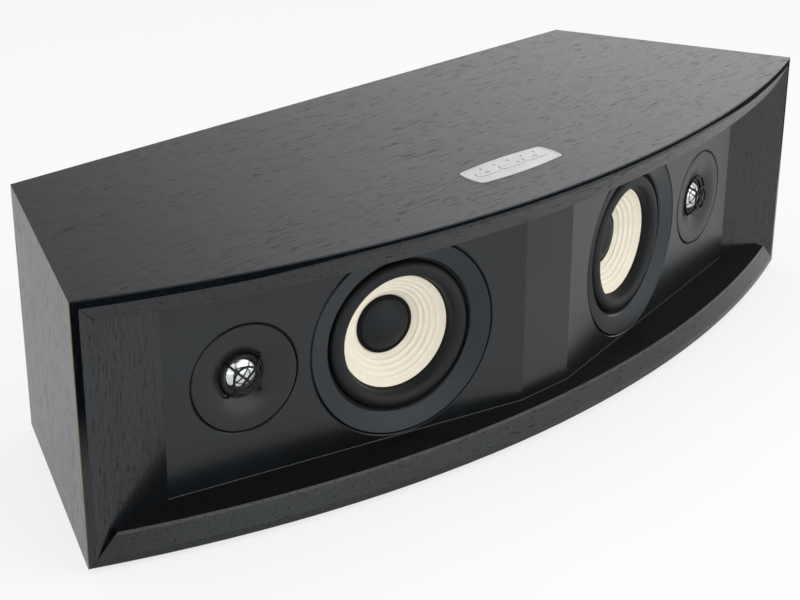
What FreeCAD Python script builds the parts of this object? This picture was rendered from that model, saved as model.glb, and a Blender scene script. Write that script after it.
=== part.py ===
import FreeCAD
import Part
import math
import os
from FreeCAD import Placement, Rotation, Vector

# Clearances between pieces
seat_gap = 0.3          # between curved faces that seat on each other
glue_gap = 0.2          # between bonded curved faces
slide_gap = 0.3         # round a part that travels
reveal = 0.9            # shadow line round a flush plate
seat_edge = 0.4         # chamfer round a flush plate's seat
plate_edge = 0.5        # chamfer round a flush plate
press_gap = 0.1         # between a pressed key and its switch
break_edge = 1.0        # chamfer on turned steel and magnets
over = 1.0              # how far a cut runs past the face it opens

# Cabinet boards
body_depth = 146.2      # from the line between the front corners to the back
front_bow = 58.3        # how far the front edge bows forward of that line
back_width = 431.0
top_thickness = 13.5
bottom_thickness = 16.0
side_thickness = 15.0
back_thickness = 15.0
front_land = 4.3        # narrow face along the front edge of the boards
lip_setback = 3.4       # how far the lip slopes back below the land
edge_break = 0.6
foot_height = 3.0
foot_radius = 10.0
foot_draft = 1.0        # the foot is this much smaller on the ground
foot_inset = 30.0       # foot centre from the cabinet's edges

# Baffle and cheeks
baffle_thickness = 15.0
cheek_thickness = 12.0
cheek_width = 53.0      # from the cabinet's front corner to the end of the baffle
facet_angle = 13.2      # degrees that each driver facet turns outwards
centre_facet = 37.2
centre_setback = 14.2   # centre facet behind the front edge
outer_margin = 14.3     # from the end of the baffle to the tweeter's seat
driver_margin = 6.7     # between the two seats
inner_margin = 21.0     # from the woofer's seat to the centre facet
edge_margin = 1.05      # above and below the woofer's seat

# Woofer, depths counted backwards from the baffle's face
trim_radius = 54.8
trim_thickness = 4.2
trim_bore = 43.5
trim_bevel = 0.8
trim_dish = 3.0         # how far the ring's face slopes in towards its bore
flange_width = 6.0      # basket and surround flange under the trim ring
flange_thickness = 1.5
rubber_thickness = 0.8
roll_radius = 5.4       # half roll of the surround
roll_groove = 0.3       # between the trim ring's bore and the roll
roll_foot = 5.0         # inner foot of the roll below its centre
roll_proud = 0.2        # crest of the roll behind the baffle's face
cone_thickness = 0.9
cone_slope = 38.0       # degrees from the baffle's plane
cone_edge_depth = 9.5
rib_count = 4
rib_margin = 4.9        # first rib from the cone's edge
rib_pitch = 3.2
rib_width = 1.9
rib_height = 0.4
cap_radius = 16.6
cap_rim = 1.8
cap_rise = 4.8
cap_thickness = 0.8
coil_radius = 12.75
former_thickness = 0.5
winding_thickness = 0.6
winding_length = 9.0
coil_stroke = 4.0
air_gap = 0.55          # on each side of the coil
basket_wall = 1.5
basket_step = 1.0       # basket tube outside the trim ring's bore
basket_tube = 12.0      # straight part of the basket behind the flange
basket_neck = 31.5
spider_depth = 27.2     # ledge that the spider is bonded to
spider_ledge = 3.0
spider_thickness = 0.6
spider_waves = 3
spider_height = 1.6
plate_depth = 34.0      # front of the motor's top plate
plate_thickness = 5.0
plate_radius = 30.5
magnet_radius = 34.0
magnet_bore = 17.5
coil_room = 7.0         # left behind the coil at full stroke
yoke_thickness = 5.0
yoke_radius = 32.0
window_count = 6
window_width = 24.0
window_length = 8.5

# Tweeter, depths counted the same way
face_radius = 29.4
face_thickness = 4.0
face_flat = 2.6         # flat rim outside the dish
face_boss = 20.0
boss_height = 1.0
throat_radius = 11.9
throat_depth = 4.1
dish_sag = 1.0          # how far the dish bends below a straight slope
dome_radius = 9.3
dome_rise = 4.0
dome_thickness = 0.4
dome_skirt = 5.0
dome_flange = 15.5
flex_height = 0.7
motor_radius = 18.0
motor_length = 18.0
motor_slot = 1.6
motor_room = 1.5        # between the dome and the pole, and past the skirt
guard_bar = 1.1
guard_ring = 7.1
guard_proud = 2.6       # front of the guard before the baffle's face
guard_foot = 14.0       # where the guard's arms meet the dish
guard_collar = 11.2     # ring round the dome

# Control plate on top
panel_length = 64.4
panel_width = 19.0
panel_bow = 2.2
panel_end_bow = 1.5
panel_corner = 2.6
panel_thickness = 1.8
panel_proud = 0.4
panel_rim = 1.3         # raised edge round the plate
panel_sink = 0.15       # the plate's field below that edge
panel_setback = 44.5    # plate centre behind the front edge
panel_ledge = 2.0
key_length = 17.0
key_width = 5.6
key_round = 2.7
key_spacing = 18.6
key_crown = 0.2
key_gap = 0.2           # round each key
key_skirt = 3.0
key_travel = 0.5
key_pin = 0.7
key_tilt = 2.5          # degrees that the volume key rocks each way
switch_size = 3.2
switch_height = 1.6
board_thickness = 1.6
light_count = 5
light_radius = 0.6
light_spacing = 10.6
light_offset = 5.8      # behind the row of keys

# Connector bay and its plate
bay_width = 150.0
bay_height = 66.0
bay_depth = 12.0
bay_corner = 3.0
bay_ledge = 6.0
bay_plate = 2.0
socket_depth = 16.0     # sockets reach this far behind the plate
socket_lip = 1.0
screw_radius = 1.5
screw_head = 2.8
screw_head_height = 1.6
screw_length = 6.0
inlet_inset = 23.0      # inlet's centre from the end of the bay
inlet_width = 21.0
inlet_height = 12.6
inlet_wall = 2.0
inlet_cavity = 12.0
inlet_pin = 1.1
inlet_pitch = 8.6
rocker_pitch = 28.0     # from the inlet to the rocker
rocker_width = 8.4
rocker_radius = 6.0
rocker_tilt = 8.0       # degrees to each side
rocker_pin = 1.1
rocker_sink = 3.6       # pivot behind the bezel's face
rocker_edge = 40.0      # degrees from the pivot's plane to the rocker's front edges
rocker_heel = 20.0      # and to its back edges
bezel_wall = 2.2
network_width = 16.0
network_height = 13.6
network_wall = 2.2
network_cavity = 13.0
phono_offset = 22.0     # from the phono sockets to the jack
phono_pitch = 18.0
phono_radius = 4.15
phono_length = 8.0
phono_flange = 5.6
phono_bore = 1.7
jack_inset = 23.0       # jack's centre from the other end of the bay
jack_radius = 4.0
jack_bore = 1.85
jack_bore_depth = 14.0
side_row = 9.0          # jack above and pairing button below the middle
pair_radius = 2.6
pair_travel = 0.8

# Bass ports
port_x = 150.0
port_radius = 17.0
port_wall = 2.5
port_length = 95.0
port_flare = 6.0
port_flange = 4.0
port_flange_thickness = 3.0

# Electronics
main_board_width = 82.0
main_board_height = 50.0
main_board_offset = 24.0  # middle of the board inwards of the jack
standoff_radius = 3.0
standoff_inset = 4.0
sink_width = 46.0
sink_height = 30.0
sink_depth = 14.0
sink_base = 4.0
fin_count = 8
fin_thickness = 1.8
power_board_width = 112.0
power_board_depth = 44.0
power_board_gap = 40.0  # from the back panel
power_standoff = 6.0
choke_size = 26.0
capacitor_count = 3
capacitor_radius = 8.0
capacitor_height = 26.0
capacitor_pitch = 19.0

# Places worked out from the sizes above
trim_seat = trim_radius + reveal
face_seat = face_radius + reveal
baffle_height = 2 * (trim_seat + edge_margin)
facet_length = outer_margin + 2 * face_seat + driver_margin + 2 * trim_seat + inner_margin
tweeter_along = outer_margin + face_seat
woofer_along = facet_length - inner_margin - trim_seat
turn = math.radians(facet_angle)
baffle_half = centre_facet / 2 + facet_length * math.cos(turn)
front_half = baffle_half + cheek_width
back_half = back_width / 2
front_radius = (front_half ** 2 + front_bow ** 2) / (2 * front_bow)
front_y = -(body_depth + front_bow) / 2
chord_y = front_y + front_bow
back_y = chord_y + body_depth
axis_y = front_y + front_radius
base_z = foot_height
floor_z = base_z + bottom_thickness
ceiling_z = floor_z + baffle_height
top_z = ceiling_z + top_thickness
middle_z = (floor_z + ceiling_z) / 2
side_lean = (front_half - back_half) / body_depth
side_skew = math.hypot(1, side_lean)
up = Vector(0, 0, 1)
out_back = Rotation(Vector(1, 0, 0), -90)


def save(name, shape):
    shape.exportStep(f"parts/{name}.step")


def save_pair(name, left):
    save("left_" + name, left)
    save("right_" + name, left.mirror(Vector(), Vector(1, 0, 0)))


def group(shapes):
    return Part.makeCompound(shapes)


def joined(shapes):
    return shapes[0].multiFuse(shapes[1:]).removeSplitter()


def path_face(steps, place):
    # A step of two numbers is a corner; four numbers are an arc through a point to a corner
    edges = []
    here = steps[0]
    for step in steps[1:] + steps[:1]:
        end = step[-2:]
        if end == here:
            continue
        if len(step) == 4:
            edges.append(Part.Arc(place(*here), place(*step[:2]), place(*end)).toShape())
        else:
            edges.append(Part.LineSegment(place(*here), place(*end)).toShape())
        here = end
    return Part.Face(Part.Wire(edges))


def turned(steps):
    # Radius and depth behind the face, turned about the driver's axis
    face = path_face(steps, lambda radius, depth: Vector(radius, 0, -depth))
    return face.revolve(Vector(), up, 360)


def plan_prism(steps, low, high):
    return path_face(steps, lambda x, y: Vector(x, y, low)).extrude(Vector(0, 0, high - low))


def disc(radius, near, far, x=0, y=0):
    return Part.makeCylinder(radius, far - near, Vector(x, y, -far))


def block(width, height, near, far, x=0, y=0):
    return Part.makeBox(width, height, far - near, Vector(x - width / 2, y - height / 2, -far))


def rounded(width, height, corner, near, far, x=0, y=0):
    w = width / 2
    h = height / 2
    cut = corner * (1 - math.sqrt(0.5))
    steps = []
    for sx, sy in ((1, -1), (1, 1), (-1, 1), (-1, -1)):
        along = (sx * (w - corner), sy * h)
        beside = (sx * w, sy * (h - corner))
        start, end = (along, beside) if sx * sy < 0 else (beside, along)
        steps.append(start)
        steps.append((sx * (w - cut), sy * (h - cut)) + end)
    plate = plan_prism(steps, -far, -near)
    plate.translate(Vector(x, y, 0))
    return plate


def side_x(y, inset=0):
    return -(front_half - (y - chord_y) * side_lean - inset * side_skew)


def front_disc(profile):
    # Board blank turned about the centre of the bowed front edge
    face = path_face(profile, lambda radius, z: Vector(radius, axis_y, z))
    return face.revolve(Vector(0, axis_y, 0), up, 360)


def crossing(point_a, way_a, point_b, way_b):
    det = way_a[0] * way_b[1] - way_a[1] * way_b[0]
    gap = (point_b[0] - point_a[0], point_b[1] - point_a[1])
    step = (gap[0] * way_b[1] - gap[1] * way_b[0]) / det
    return (point_a[0] + way_a[0] * step, point_a[1] + way_a[1] * step)


def moved(point, way, distance):
    return (point[0] + way[0] * distance, point[1] + way[1] * distance)


def cap_drop(radius, half_width, rise):
    # How far a spherical cap falls from its crown at a radius
    ball = (half_width ** 2 + rise ** 2) / (2 * rise)
    return ball - math.sqrt(ball ** 2 - radius ** 2)


def unit(vector):
    size = math.hypot(*vector)
    return (vector[0] / size, vector[1] / size)


# Plan of the left half: baffle facet, cheek and side board
facet_way = (math.cos(turn), -math.sin(turn))
facet_back = (math.sin(turn), math.cos(turn))
baffle_end = (-baffle_half, front_y + centre_setback + facet_length * math.sin(turn))
baffle_knee = moved(baffle_end, facet_way, facet_length)
corner_angle = math.asin(front_half / front_radius)
land_angle = corner_angle - front_land / front_radius
land_end = (-front_radius * math.sin(land_angle), axis_y - front_radius * math.cos(land_angle))
cheek_way = unit((land_end[0] - baffle_end[0], land_end[1] - baffle_end[1]))
cheek_back = (cheek_way[1], -cheek_way[0])
side_way = unit((side_lean, 1))
mitre_way = unit((facet_back[0] + cheek_back[0], facet_back[1] + cheek_back[1]))


def driver_place(along):
    x, y = moved(baffle_end, facet_way, along)
    turned_axes = Rotation(Vector(*facet_way, 0), up, Vector(-facet_back[0], -facet_back[1], 0), "ZXY")
    return Placement(Vector(x, y, middle_z), turned_axes)


woofer_place = driver_place(woofer_along)
tweeter_place = driver_place(tweeter_along)


def placed(shape, placement):
    shape.Placement = placement.multiply(shape.Placement)
    return shape


def both(shape):
    return [shape, shape.mirror(Vector(), Vector(1, 0, 0))]


def board_blank(low, high):
    # Full plan of the cabinet between two heights
    left_front = (-front_half, chord_y)
    left_back = (-back_half, back_y)
    right_back = (back_half, back_y)
    right_front = (front_half, chord_y)
    front_arc = (0, front_y) + left_front
    return plan_prism([left_front, left_back, right_back, right_front, front_arc], low, high)


def mitre_wedges(edge_z, thickness, down):
    # Cut away at 45 degrees where the side boards meet the top or bottom board
    reach = 4 * body_depth
    start_y = chord_y - reach / 2
    corner = Vector(side_x(start_y), start_y, edge_z)
    outward = Vector(-side_way[1], side_way[0], 0)
    low = corner + down * thickness - outward * thickness
    beyond = outward * 3 * thickness
    wedge = Part.makePolygon([corner, low, low + beyond, corner + beyond, corner])
    return both(Part.Face(wedge).extrude(Vector(*side_way, 0) * reach))


def top_and_bottom():
    lip = front_radius - lip_setback
    edge = front_radius - edge_break
    land_z = top_z - front_land
    profile = [(0, ceiling_z), (lip, ceiling_z), (front_radius, land_z), (front_radius, top_z - edge_break),
               (edge, top_z), (0, top_z)]
    blank = board_blank(ceiling_z, top_z).cut(mitre_wedges(top_z, top_thickness, -up))
    top = blank.common(front_disc(profile))
    land_z = base_z + front_land
    profile = [(0, base_z), (edge, base_z), (front_radius, base_z + edge_break), (front_radius, land_z),
               (lip, floor_z), (0, floor_z)]
    blank_low = board_blank(base_z, floor_z).cut(mitre_wedges(base_z, bottom_thickness, up))
    bottom = blank_low.common(front_disc(profile))
    return top, bottom, [blank, blank_low]


def side_and_cheek(boards):
    inner = [(side_x(y, side_thickness), y) for y in (back_y, front_y)]
    outer = [(side_x(y), y) for y in (front_y, back_y)]
    side = board_blank(base_z, top_z).common(plan_prism(inner + outer, base_z, top_z)).cut(boards)
    rear_line = moved(baffle_end, cheek_back, cheek_thickness)
    seat = crossing(land_end, side_way, rear_line, cheek_way)
    heel = crossing(baffle_end, mitre_way, rear_line, cheek_way)
    cheek = plan_prism([land_end, baffle_end, heel, seat], base_z, top_z).cut(boards)
    forward = (-side_way[0], -side_way[1])
    ahead = moved(seat, forward, cheek_thickness + 2 * front_bow)
    rabbet = plan_prism([seat, ahead, (baffle_end[0], ahead[1]), heel], base_z - over, top_z + over)
    return side.cut(rabbet), cheek


def plate_seat(radius, depth):
    reach = radius + seat_edge + over
    return turned([(0, -over), (reach, -over), (radius, seat_edge), (radius, depth), (0, depth)])


def front_baffle():
    rear_knee = moved(baffle_knee, (math.tan(turn / 2), 1), baffle_thickness)
    rear_end = crossing(baffle_end, mitre_way, moved(baffle_end, facet_back, baffle_thickness), facet_way)
    left = [baffle_end, baffle_knee]
    left_rear = [rear_knee, rear_end]
    right = [(-x, y) for x, y in reversed(left)]
    right_rear = [(-x, y) for x, y in reversed(left_rear)]
    board = plan_prism(left + right + right_rear + left_rear, floor_z, ceiling_z)
    through = 2 * baffle_thickness
    flange_back = trim_thickness + rubber_thickness + flange_thickness
    woofer_cut = joined([
        plate_seat(trim_seat, trim_thickness),
        disc(flange_radius + seat_gap, -over, flange_back),
        disc(basket_radius + seat_gap, -over, through),
    ])
    tweeter_cut = joined([plate_seat(face_seat, face_thickness),
                          disc(face_boss + seat_gap, -over, through)])
    cuts = both(placed(woofer_cut, woofer_place)) + both(placed(tweeter_cut, tweeter_place))
    return board.cut(cuts)


# Woofer
flange_radius = trim_bore + flange_width
flange_front = trim_thickness + rubber_thickness
basket_radius = trim_bore + basket_step
roll_centre = trim_bore - roll_groove - roll_radius
roll_depth = roll_proud + roll_radius
roll_inner = roll_centre - roll_radius
cone_radius = roll_inner - seat_gap - glue_gap
cone_fall = math.tan(math.radians(cone_slope))
coil_inner = coil_radius - former_thickness
winding_radius = coil_radius + winding_thickness
winding_middle = plate_depth + plate_thickness / 2
magnet_back = winding_middle + winding_length / 2 + coil_stroke + coil_room


def cone_depth(radius):
    return cone_edge_depth + (cone_radius - radius) * cone_fall


def trim_ring():
    return turned([(trim_radius, plate_edge), (trim_radius, trim_thickness), (trim_bore, trim_thickness),
                   (trim_bore, trim_dish + trim_bevel), (trim_bore + trim_bevel, trim_dish),
                   (trim_radius - plate_edge, 0)])


def surround():
    back_radius = roll_radius - rubber_thickness
    front_meet = roll_centre + math.sqrt(roll_radius ** 2 - (roll_depth - trim_thickness) ** 2)
    back_meet = roll_centre + math.sqrt(back_radius ** 2 - (roll_depth - flange_front) ** 2)
    foot = roll_depth + roll_foot
    inner_back = roll_inner + rubber_thickness
    return turned([
        (flange_radius, trim_thickness),
        (front_meet, trim_thickness),
        (roll_centre, roll_proud, roll_inner, roll_depth),
        (roll_inner, foot),
        (inner_back, foot),
        (inner_back, roll_depth),
        (roll_centre, roll_proud + rubber_thickness, back_meet, flange_front),
        (flange_radius, flange_front),
    ])


def cone():
    along = unit((-1, cone_fall))
    front = (-along[1], along[0])
    edge = (cone_radius, cone_edge_depth)
    steps = [edge]
    for index in range(rib_count):
        middle = rib_margin + rib_pitch * index
        start = moved(edge, along, middle - rib_width / 2)
        crest = moved(moved(edge, along, middle), front, rib_height)
        end = moved(edge, along, middle + rib_width / 2)
        steps += [start, crest + end]
    neck = coil_radius + glue_gap
    drop = cone_thickness / math.cos(math.radians(cone_slope))
    neck_depth = cone_depth(neck)
    return turned(steps + [(neck, neck_depth), (neck, neck_depth + drop),
                           (cone_radius, cone_edge_depth + drop)])


def dust_cap():
    inner = cap_radius - cap_rim
    rim_back = cone_depth(cap_radius) - glue_gap
    inner_back = cone_depth(inner) - glue_gap
    rim_front = rim_back - cap_thickness
    apex = rim_front - cap_rise
    hollow = inner - cap_thickness
    bend = inner / 2
    return turned([
        (0, apex),
        (bend, apex + cap_drop(bend, inner, cap_rise), inner, rim_front),
        (cap_radius, rim_front),
        (cap_radius, rim_back),
        (inner, inner_back),
        (hollow, rim_back),
        (bend, apex + cap_thickness + cap_drop(bend, hollow, cap_rise), 0, apex + cap_thickness),
    ])


def voice_coil():
    front = cone_depth(coil_radius) + glue_gap
    winding_front = winding_middle - winding_length / 2
    winding_back = winding_middle + winding_length / 2
    return turned([(coil_inner, front), (coil_radius, front), (coil_radius, winding_front),
                   (winding_radius, winding_front), (winding_radius, winding_back),
                   (coil_inner, winding_back)])


def spider():
    inner = coil_radius + seat_gap
    ledge = basket_neck - basket_wall
    outer = ledge + spider_ledge
    front = spider_depth - spider_thickness
    pitch = (ledge - inner) / spider_waves
    wave = []
    for index in range(spider_waves):
        start = ledge - pitch * index
        wave += [(start - pitch / 4, -spider_height / 2), (start - 3 * pitch / 4, spider_height / 2)]
    wave.append((inner, 0))
    face_front = [(radius, front + rise) for radius, rise in wave]
    face_back = [(radius, spider_depth + rise) for radius, rise in reversed(wave)]
    return turned([(outer, front), (ledge, front)] + face_front + face_back
                  + [(ledge, spider_depth), (outer, spider_depth)])


def basket():
    flange_back = flange_front + flange_thickness
    tube_end = flange_back + basket_tube
    ledge = basket_neck - basket_wall
    seat = ledge + spider_ledge + seat_gap
    inner_wall = basket_radius - basket_wall
    bore = winding_radius + 2 * air_gap
    neck_front = plate_depth - basket_wall
    shell = turned([
        (flange_radius, flange_front), (flange_radius, flange_back), (basket_radius, flange_back),
        (basket_radius, tube_end), (seat + basket_wall, spider_depth),
        (basket_neck, spider_depth + basket_wall), (basket_neck, plate_depth), (bore, plate_depth),
        (bore, neck_front), (ledge, neck_front), (ledge, spider_depth), (seat, spider_depth),
        (inner_wall, tube_end), (inner_wall, flange_front),
    ])
    middle = (tube_end + spider_depth) / 2
    windows = []
    for index in range(window_count):
        window = block(basket_radius, window_width, middle - window_length / 2, middle + window_length / 2,
                       x=seat + basket_radius / 2)
        windows.append(window.rotate(Vector(), up, 360 / window_count * (index + 0.5)))
    return shell.cut(windows)


def top_plate():
    bore = winding_radius + air_gap
    return turned([(bore, plate_depth), (plate_radius, plate_depth),
                   (plate_radius, plate_depth + plate_thickness), (bore, plate_depth + plate_thickness)])


def magnet():
    front = plate_depth + plate_thickness
    chamfer = magnet_radius - break_edge
    return turned([(magnet_bore, front), (chamfer, front), (magnet_radius, front + break_edge),
                   (magnet_radius, magnet_back - break_edge), (chamfer, magnet_back),
                   (magnet_bore, magnet_back)])


def yoke():
    pole = coil_inner - air_gap
    end = magnet_back + yoke_thickness
    return turned([(0, plate_depth), (pole, plate_depth), (pole, magnet_back), (yoke_radius, magnet_back),
                   (yoke_radius, end - break_edge), (yoke_radius - break_edge, end), (0, end)])


# Tweeter
face_back = face_thickness + boss_height
dome_base = face_back - dome_thickness
motor_front = face_back + dome_thickness


def dish_depth(radius):
    # Parabola that levels out at the flat rim
    reach = (face_radius - face_flat - radius) / (face_radius - face_flat - throat_radius)
    return throat_depth * reach - dish_sag * 4 * reach * (1 - reach)


def tweeter_faceplate():
    rim = face_radius - face_flat
    middle = (rim + throat_radius) / 2
    return turned([(face_radius, plate_edge), (face_radius, face_thickness), (face_boss, face_thickness),
                   (face_boss, face_back), (throat_radius, face_back), (throat_radius, throat_depth),
                   (middle, dish_depth(middle), rim, 0), (face_radius - plate_edge, 0)])


def tweeter_dome():
    inner = dome_radius - dome_thickness
    flex = throat_radius - glue_gap
    flex_middle = (dome_radius + flex) / 2
    bend = dome_radius / 2
    apex = dome_base - dome_rise
    skirt = dome_base + dome_skirt
    return turned([
        (0, apex),
        (bend, apex + cap_drop(bend, dome_radius, dome_rise), dome_radius, dome_base),
        (flex_middle, dome_base - flex_height, flex, dome_base),
        (flex, face_back),
        (dome_flange, face_back),
        (dome_flange, motor_front),
        (dome_radius, motor_front),
        (dome_radius, skirt),
        (inner, skirt),
        (inner, dome_base + dome_thickness),
        (bend, apex + dome_thickness + cap_drop(bend, inner, dome_rise), 0, apex + dome_thickness),
    ])


def tweeter_motor():
    end = motor_front + motor_length
    slot_inner = dome_radius - dome_thickness / 2 - motor_slot / 2
    slot_outer = slot_inner + motor_slot
    pole = dome_base + motor_room
    slot_end = dome_base + dome_skirt + motor_room
    return turned([(0, pole), (slot_inner, pole), (slot_inner, slot_end), (slot_outer, slot_end),
                   (slot_outer, motor_front), (motor_radius, motor_front), (motor_radius, end - break_edge),
                   (motor_radius - break_edge, end), (0, end)])


def tweeter_guard():
    half = guard_bar / 2
    rings = []
    collar_depth = dome_base - flex_height - seat_gap
    for radius, front in ((guard_ring, -guard_proud), (guard_collar, collar_depth - guard_bar)):
        back = front + guard_bar
        rings.append(turned([(radius - half, front), (radius + half, front), (radius + half, back),
                             (radius - half, back)]))
    foot_depth = dish_depth(guard_foot) - seat_gap
    foot_front = foot_depth - guard_bar
    ring_front = -guard_proud
    arch = [(-guard_foot, foot_depth), (-guard_foot, foot_front), (-guard_ring, ring_front),
            (guard_ring, ring_front), (guard_foot, foot_front), (guard_foot, foot_depth),
            (guard_collar, foot_depth), (guard_ring, ring_front + guard_bar),
            (-guard_ring, ring_front + guard_bar), (-guard_collar, foot_depth)]
    bars = []
    for angle in (45, 135):
        face = path_face(arch, lambda radius, depth: Vector(radius, -half, -depth))
        bar = face.extrude(Vector(0, guard_bar, 0))
        bars.append(bar.rotate(Vector(), up, angle))
    return joined(rings + bars)


# Control plate on top
panel_y = front_y + panel_setback
panel_top = top_z + panel_proud
panel_field = panel_top - panel_sink
panel_seat = panel_top - panel_thickness
key_bottom = panel_seat - key_skirt + panel_thickness
switch_top = key_bottom - key_travel - press_gap
rock_drop = key_length / 2 * math.tan(math.radians(key_tilt))
rock_top = key_bottom - rock_drop - press_gap
board_top = switch_top - switch_height
board_seat = board_top - board_thickness
key_places = {"power_key": -key_spacing, "volume_key": 0.0, "source_key": key_spacing}


def panel_outline(grow, low, high):
    w = panel_length / 2 + grow
    h = panel_width / 2 + grow
    plate = plan_prism([(-w, -h), (0, -h - panel_bow, w, -h), (w + panel_end_bow, 0, w, h),
                        (0, h + panel_bow, -w, h), (-w - panel_end_bow, 0, -w, -h)], low, high)
    upright = [edge for edge in plate.Edges if abs(edge.tangentAt(edge.FirstParameter).z) > 0.99]
    plate = plate.makeFillet(panel_corner, upright)
    plate.translate(Vector(0, panel_y, 0))
    return plate


def rim_edges(shape, height):
    return [edge for edge in shape.Edges if edge.BoundBox.ZMin > height - press_gap]


def key_blank(grow, low, high, x):
    pill = rounded(key_length + 2 * grow, key_width + 2 * grow, key_round + grow, -high, -low)
    pill.translate(Vector(x, panel_y, 0))
    return pill


def light_places():
    middle = (light_count - 1) / 2
    return [((index - middle) * light_spacing, panel_y + light_offset) for index in range(light_count)]


def control_plate():
    plate = panel_outline(-slide_gap, panel_seat, panel_top)
    plate = plate.makeChamfer(panel_proud, rim_edges(plate, panel_top))
    field = panel_outline(-slide_gap - panel_rim, panel_field, panel_top + over)
    holes = [key_blank(key_gap, panel_seat - over, panel_top + over, x) for x in key_places.values()]
    holes += [Part.makeCylinder(light_radius + press_gap, 2 * panel_thickness, Vector(x, y, panel_seat))
              for x, y in light_places()]
    return plate.cut([field] + holes)


def plate_pocket():
    ledge = panel_outline(-panel_ledge, board_seat, panel_top)
    return joined([panel_outline(0, panel_seat, panel_top + over), ledge])


def key(x):
    top = panel_field + key_crown
    pill = key_blank(0, key_bottom, top, x)
    return pill.makeChamfer(key_crown, rim_edges(pill, top))


def light_pipes():
    low = board_top + seat_gap
    length = panel_field - low
    return group([Part.makeCylinder(light_radius, length, Vector(x, y, low)) for x, y in light_places()])


def upright_block(width, depth, low, high, x, y):
    return Part.makeBox(width, depth, high - low, Vector(x - width / 2, y - depth / 2, low))


def control_board():
    board = panel_outline(-panel_ledge - slide_gap, board_seat, board_top)
    half = key_length / 2 - switch_size
    volume_x = key_places["volume_key"]
    spots = [(key_places["power_key"], switch_top), (key_places["source_key"], switch_top),
             (volume_x - half, rock_top), (volume_x + half, rock_top)]
    switches = [upright_block(switch_size, switch_size, board_top, top, x, panel_y) for x, top in spots]
    pivot = upright_block(key_pin, switch_size, board_top, key_bottom - slide_gap, volume_x, panel_y)
    return joined([board] + switches + [pivot])


# Back of the cabinet, depths counted inwards from its outer face
rear_place = Placement(Vector(0, back_y, middle_z), out_back)
bay_front = bay_depth - bay_plate
lip_front = bay_front - socket_lip
board_front = bay_depth + socket_depth
port_mouth = port_radius + port_flare
port_collar = port_mouth + port_wall
port_rim = port_collar + port_flange
screw_places = [(x, y) for x in (-1, 0, 1) for y in (-1, 1)]
rocker_depth = lip_front + rocker_sink
bezel_width = rocker_width + 2 * (slide_gap + bezel_wall)
bezel_height = 2 * (rocker_radius + slide_gap + bezel_wall)
bezel_depth = rocker_depth + rocker_radius + bezel_wall
inlet_x = inlet_inset - bay_width / 2
rocker_x = inlet_x + rocker_pitch
jack_x = bay_width / 2 - jack_inset
phono_x = jack_x - phono_offset
network_x = (rocker_x + phono_x) / 2
main_board_x = jack_x - main_board_offset
phono_places = [(phono_x, -phono_pitch / 2), (phono_x, phono_pitch / 2)]
jack_place = (jack_x, -side_row)
pair_place = (jack_x, side_row)


def screw_place(x, y):
    return (x * (bay_width - bay_ledge) / 2, y * (bay_height - bay_ledge) / 2)


def back_panel():
    inner_y = back_y - back_thickness
    corners = [(side_x(y, side_thickness), y) for y in (inner_y, back_y)]
    board = plan_prism(corners + [(-x, y) for x, y in reversed(corners)], floor_z, ceiling_z)
    through = back_thickness + over
    cuts = [rounded(bay_width, bay_height, bay_corner, -over, bay_depth),
            rounded(bay_width - 2 * bay_ledge, bay_height - 2 * bay_ledge, bay_corner, 0, through)]
    for x, y in screw_places:
        cuts.append(disc(screw_radius + glue_gap, 0, through, *screw_place(x, y)))
    for x in (-port_x, port_x):
        cuts.append(disc(port_rim + seat_gap, -over, port_flange_thickness, x))
        cuts.append(disc(port_collar + seat_gap, 0, through, x))
    return board.cut([placed(cut, rear_place) for cut in cuts])


def standoff_places():
    half_width = main_board_width / 2 - standoff_inset
    half_height = main_board_height / 2 - standoff_inset
    return [(main_board_x + sx * half_width, sy * half_height) for sx in (-1, 1) for sy in (-1, 1)]


def rear_plate():
    plate = rounded(bay_width - 2 * slide_gap, bay_height - 2 * slide_gap, bay_corner - slide_gap,
                    bay_front, bay_depth)
    near = bay_front - over
    far = bay_depth + over
    fit = 2 * glue_gap
    holes = [block(inlet_width + fit, inlet_height + fit, near, far, inlet_x),
             block(bezel_width + fit, bezel_height + fit, near, far, rocker_x),
             block(network_width + fit, network_height + fit, near, far, network_x),
             disc(jack_radius + glue_gap, near, far, *jack_place),
             disc(pair_radius + slide_gap, near, far, *pair_place)]
    holes += [disc(phono_radius + glue_gap, near, far, *place) for place in phono_places]
    holes += [disc(screw_radius + glue_gap, near, far, *screw_place(x, y)) for x, y in screw_places]
    posts = [disc(standoff_radius, bay_depth, board_front, *place) for place in standoff_places()]
    return placed(joined([plate.cut(holes)] + posts), rear_place)


def rear_screws():
    screws = []
    for x, y in screw_places:
        head = disc(screw_head, bay_front - screw_head_height, bay_front, *screw_place(x, y))
        shank = disc(screw_radius, bay_front, bay_front + screw_length, *screw_place(x, y))
        screws.append(placed(joined([head, shank]), rear_place))
    return group(screws)


def mains_inlet():
    rim = 2 * inlet_wall
    lip = rounded(inlet_width + rim, inlet_height + rim, inlet_wall, lip_front, bay_front, inlet_x)
    body = block(inlet_width, inlet_height, bay_front, board_front, inlet_x)
    end = lip_front + inlet_cavity
    cavity = rounded(inlet_width - rim, inlet_height - rim, inlet_wall, lip_front - over, end, inlet_x)
    tip = lip_front + inlet_wall
    pins = [disc(inlet_pin, tip, end, inlet_x + side * inlet_pitch / 2) for side in (-1, 1)]
    return placed(joined([joined([lip, body]).cut(cavity)] + pins), rear_place)


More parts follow.
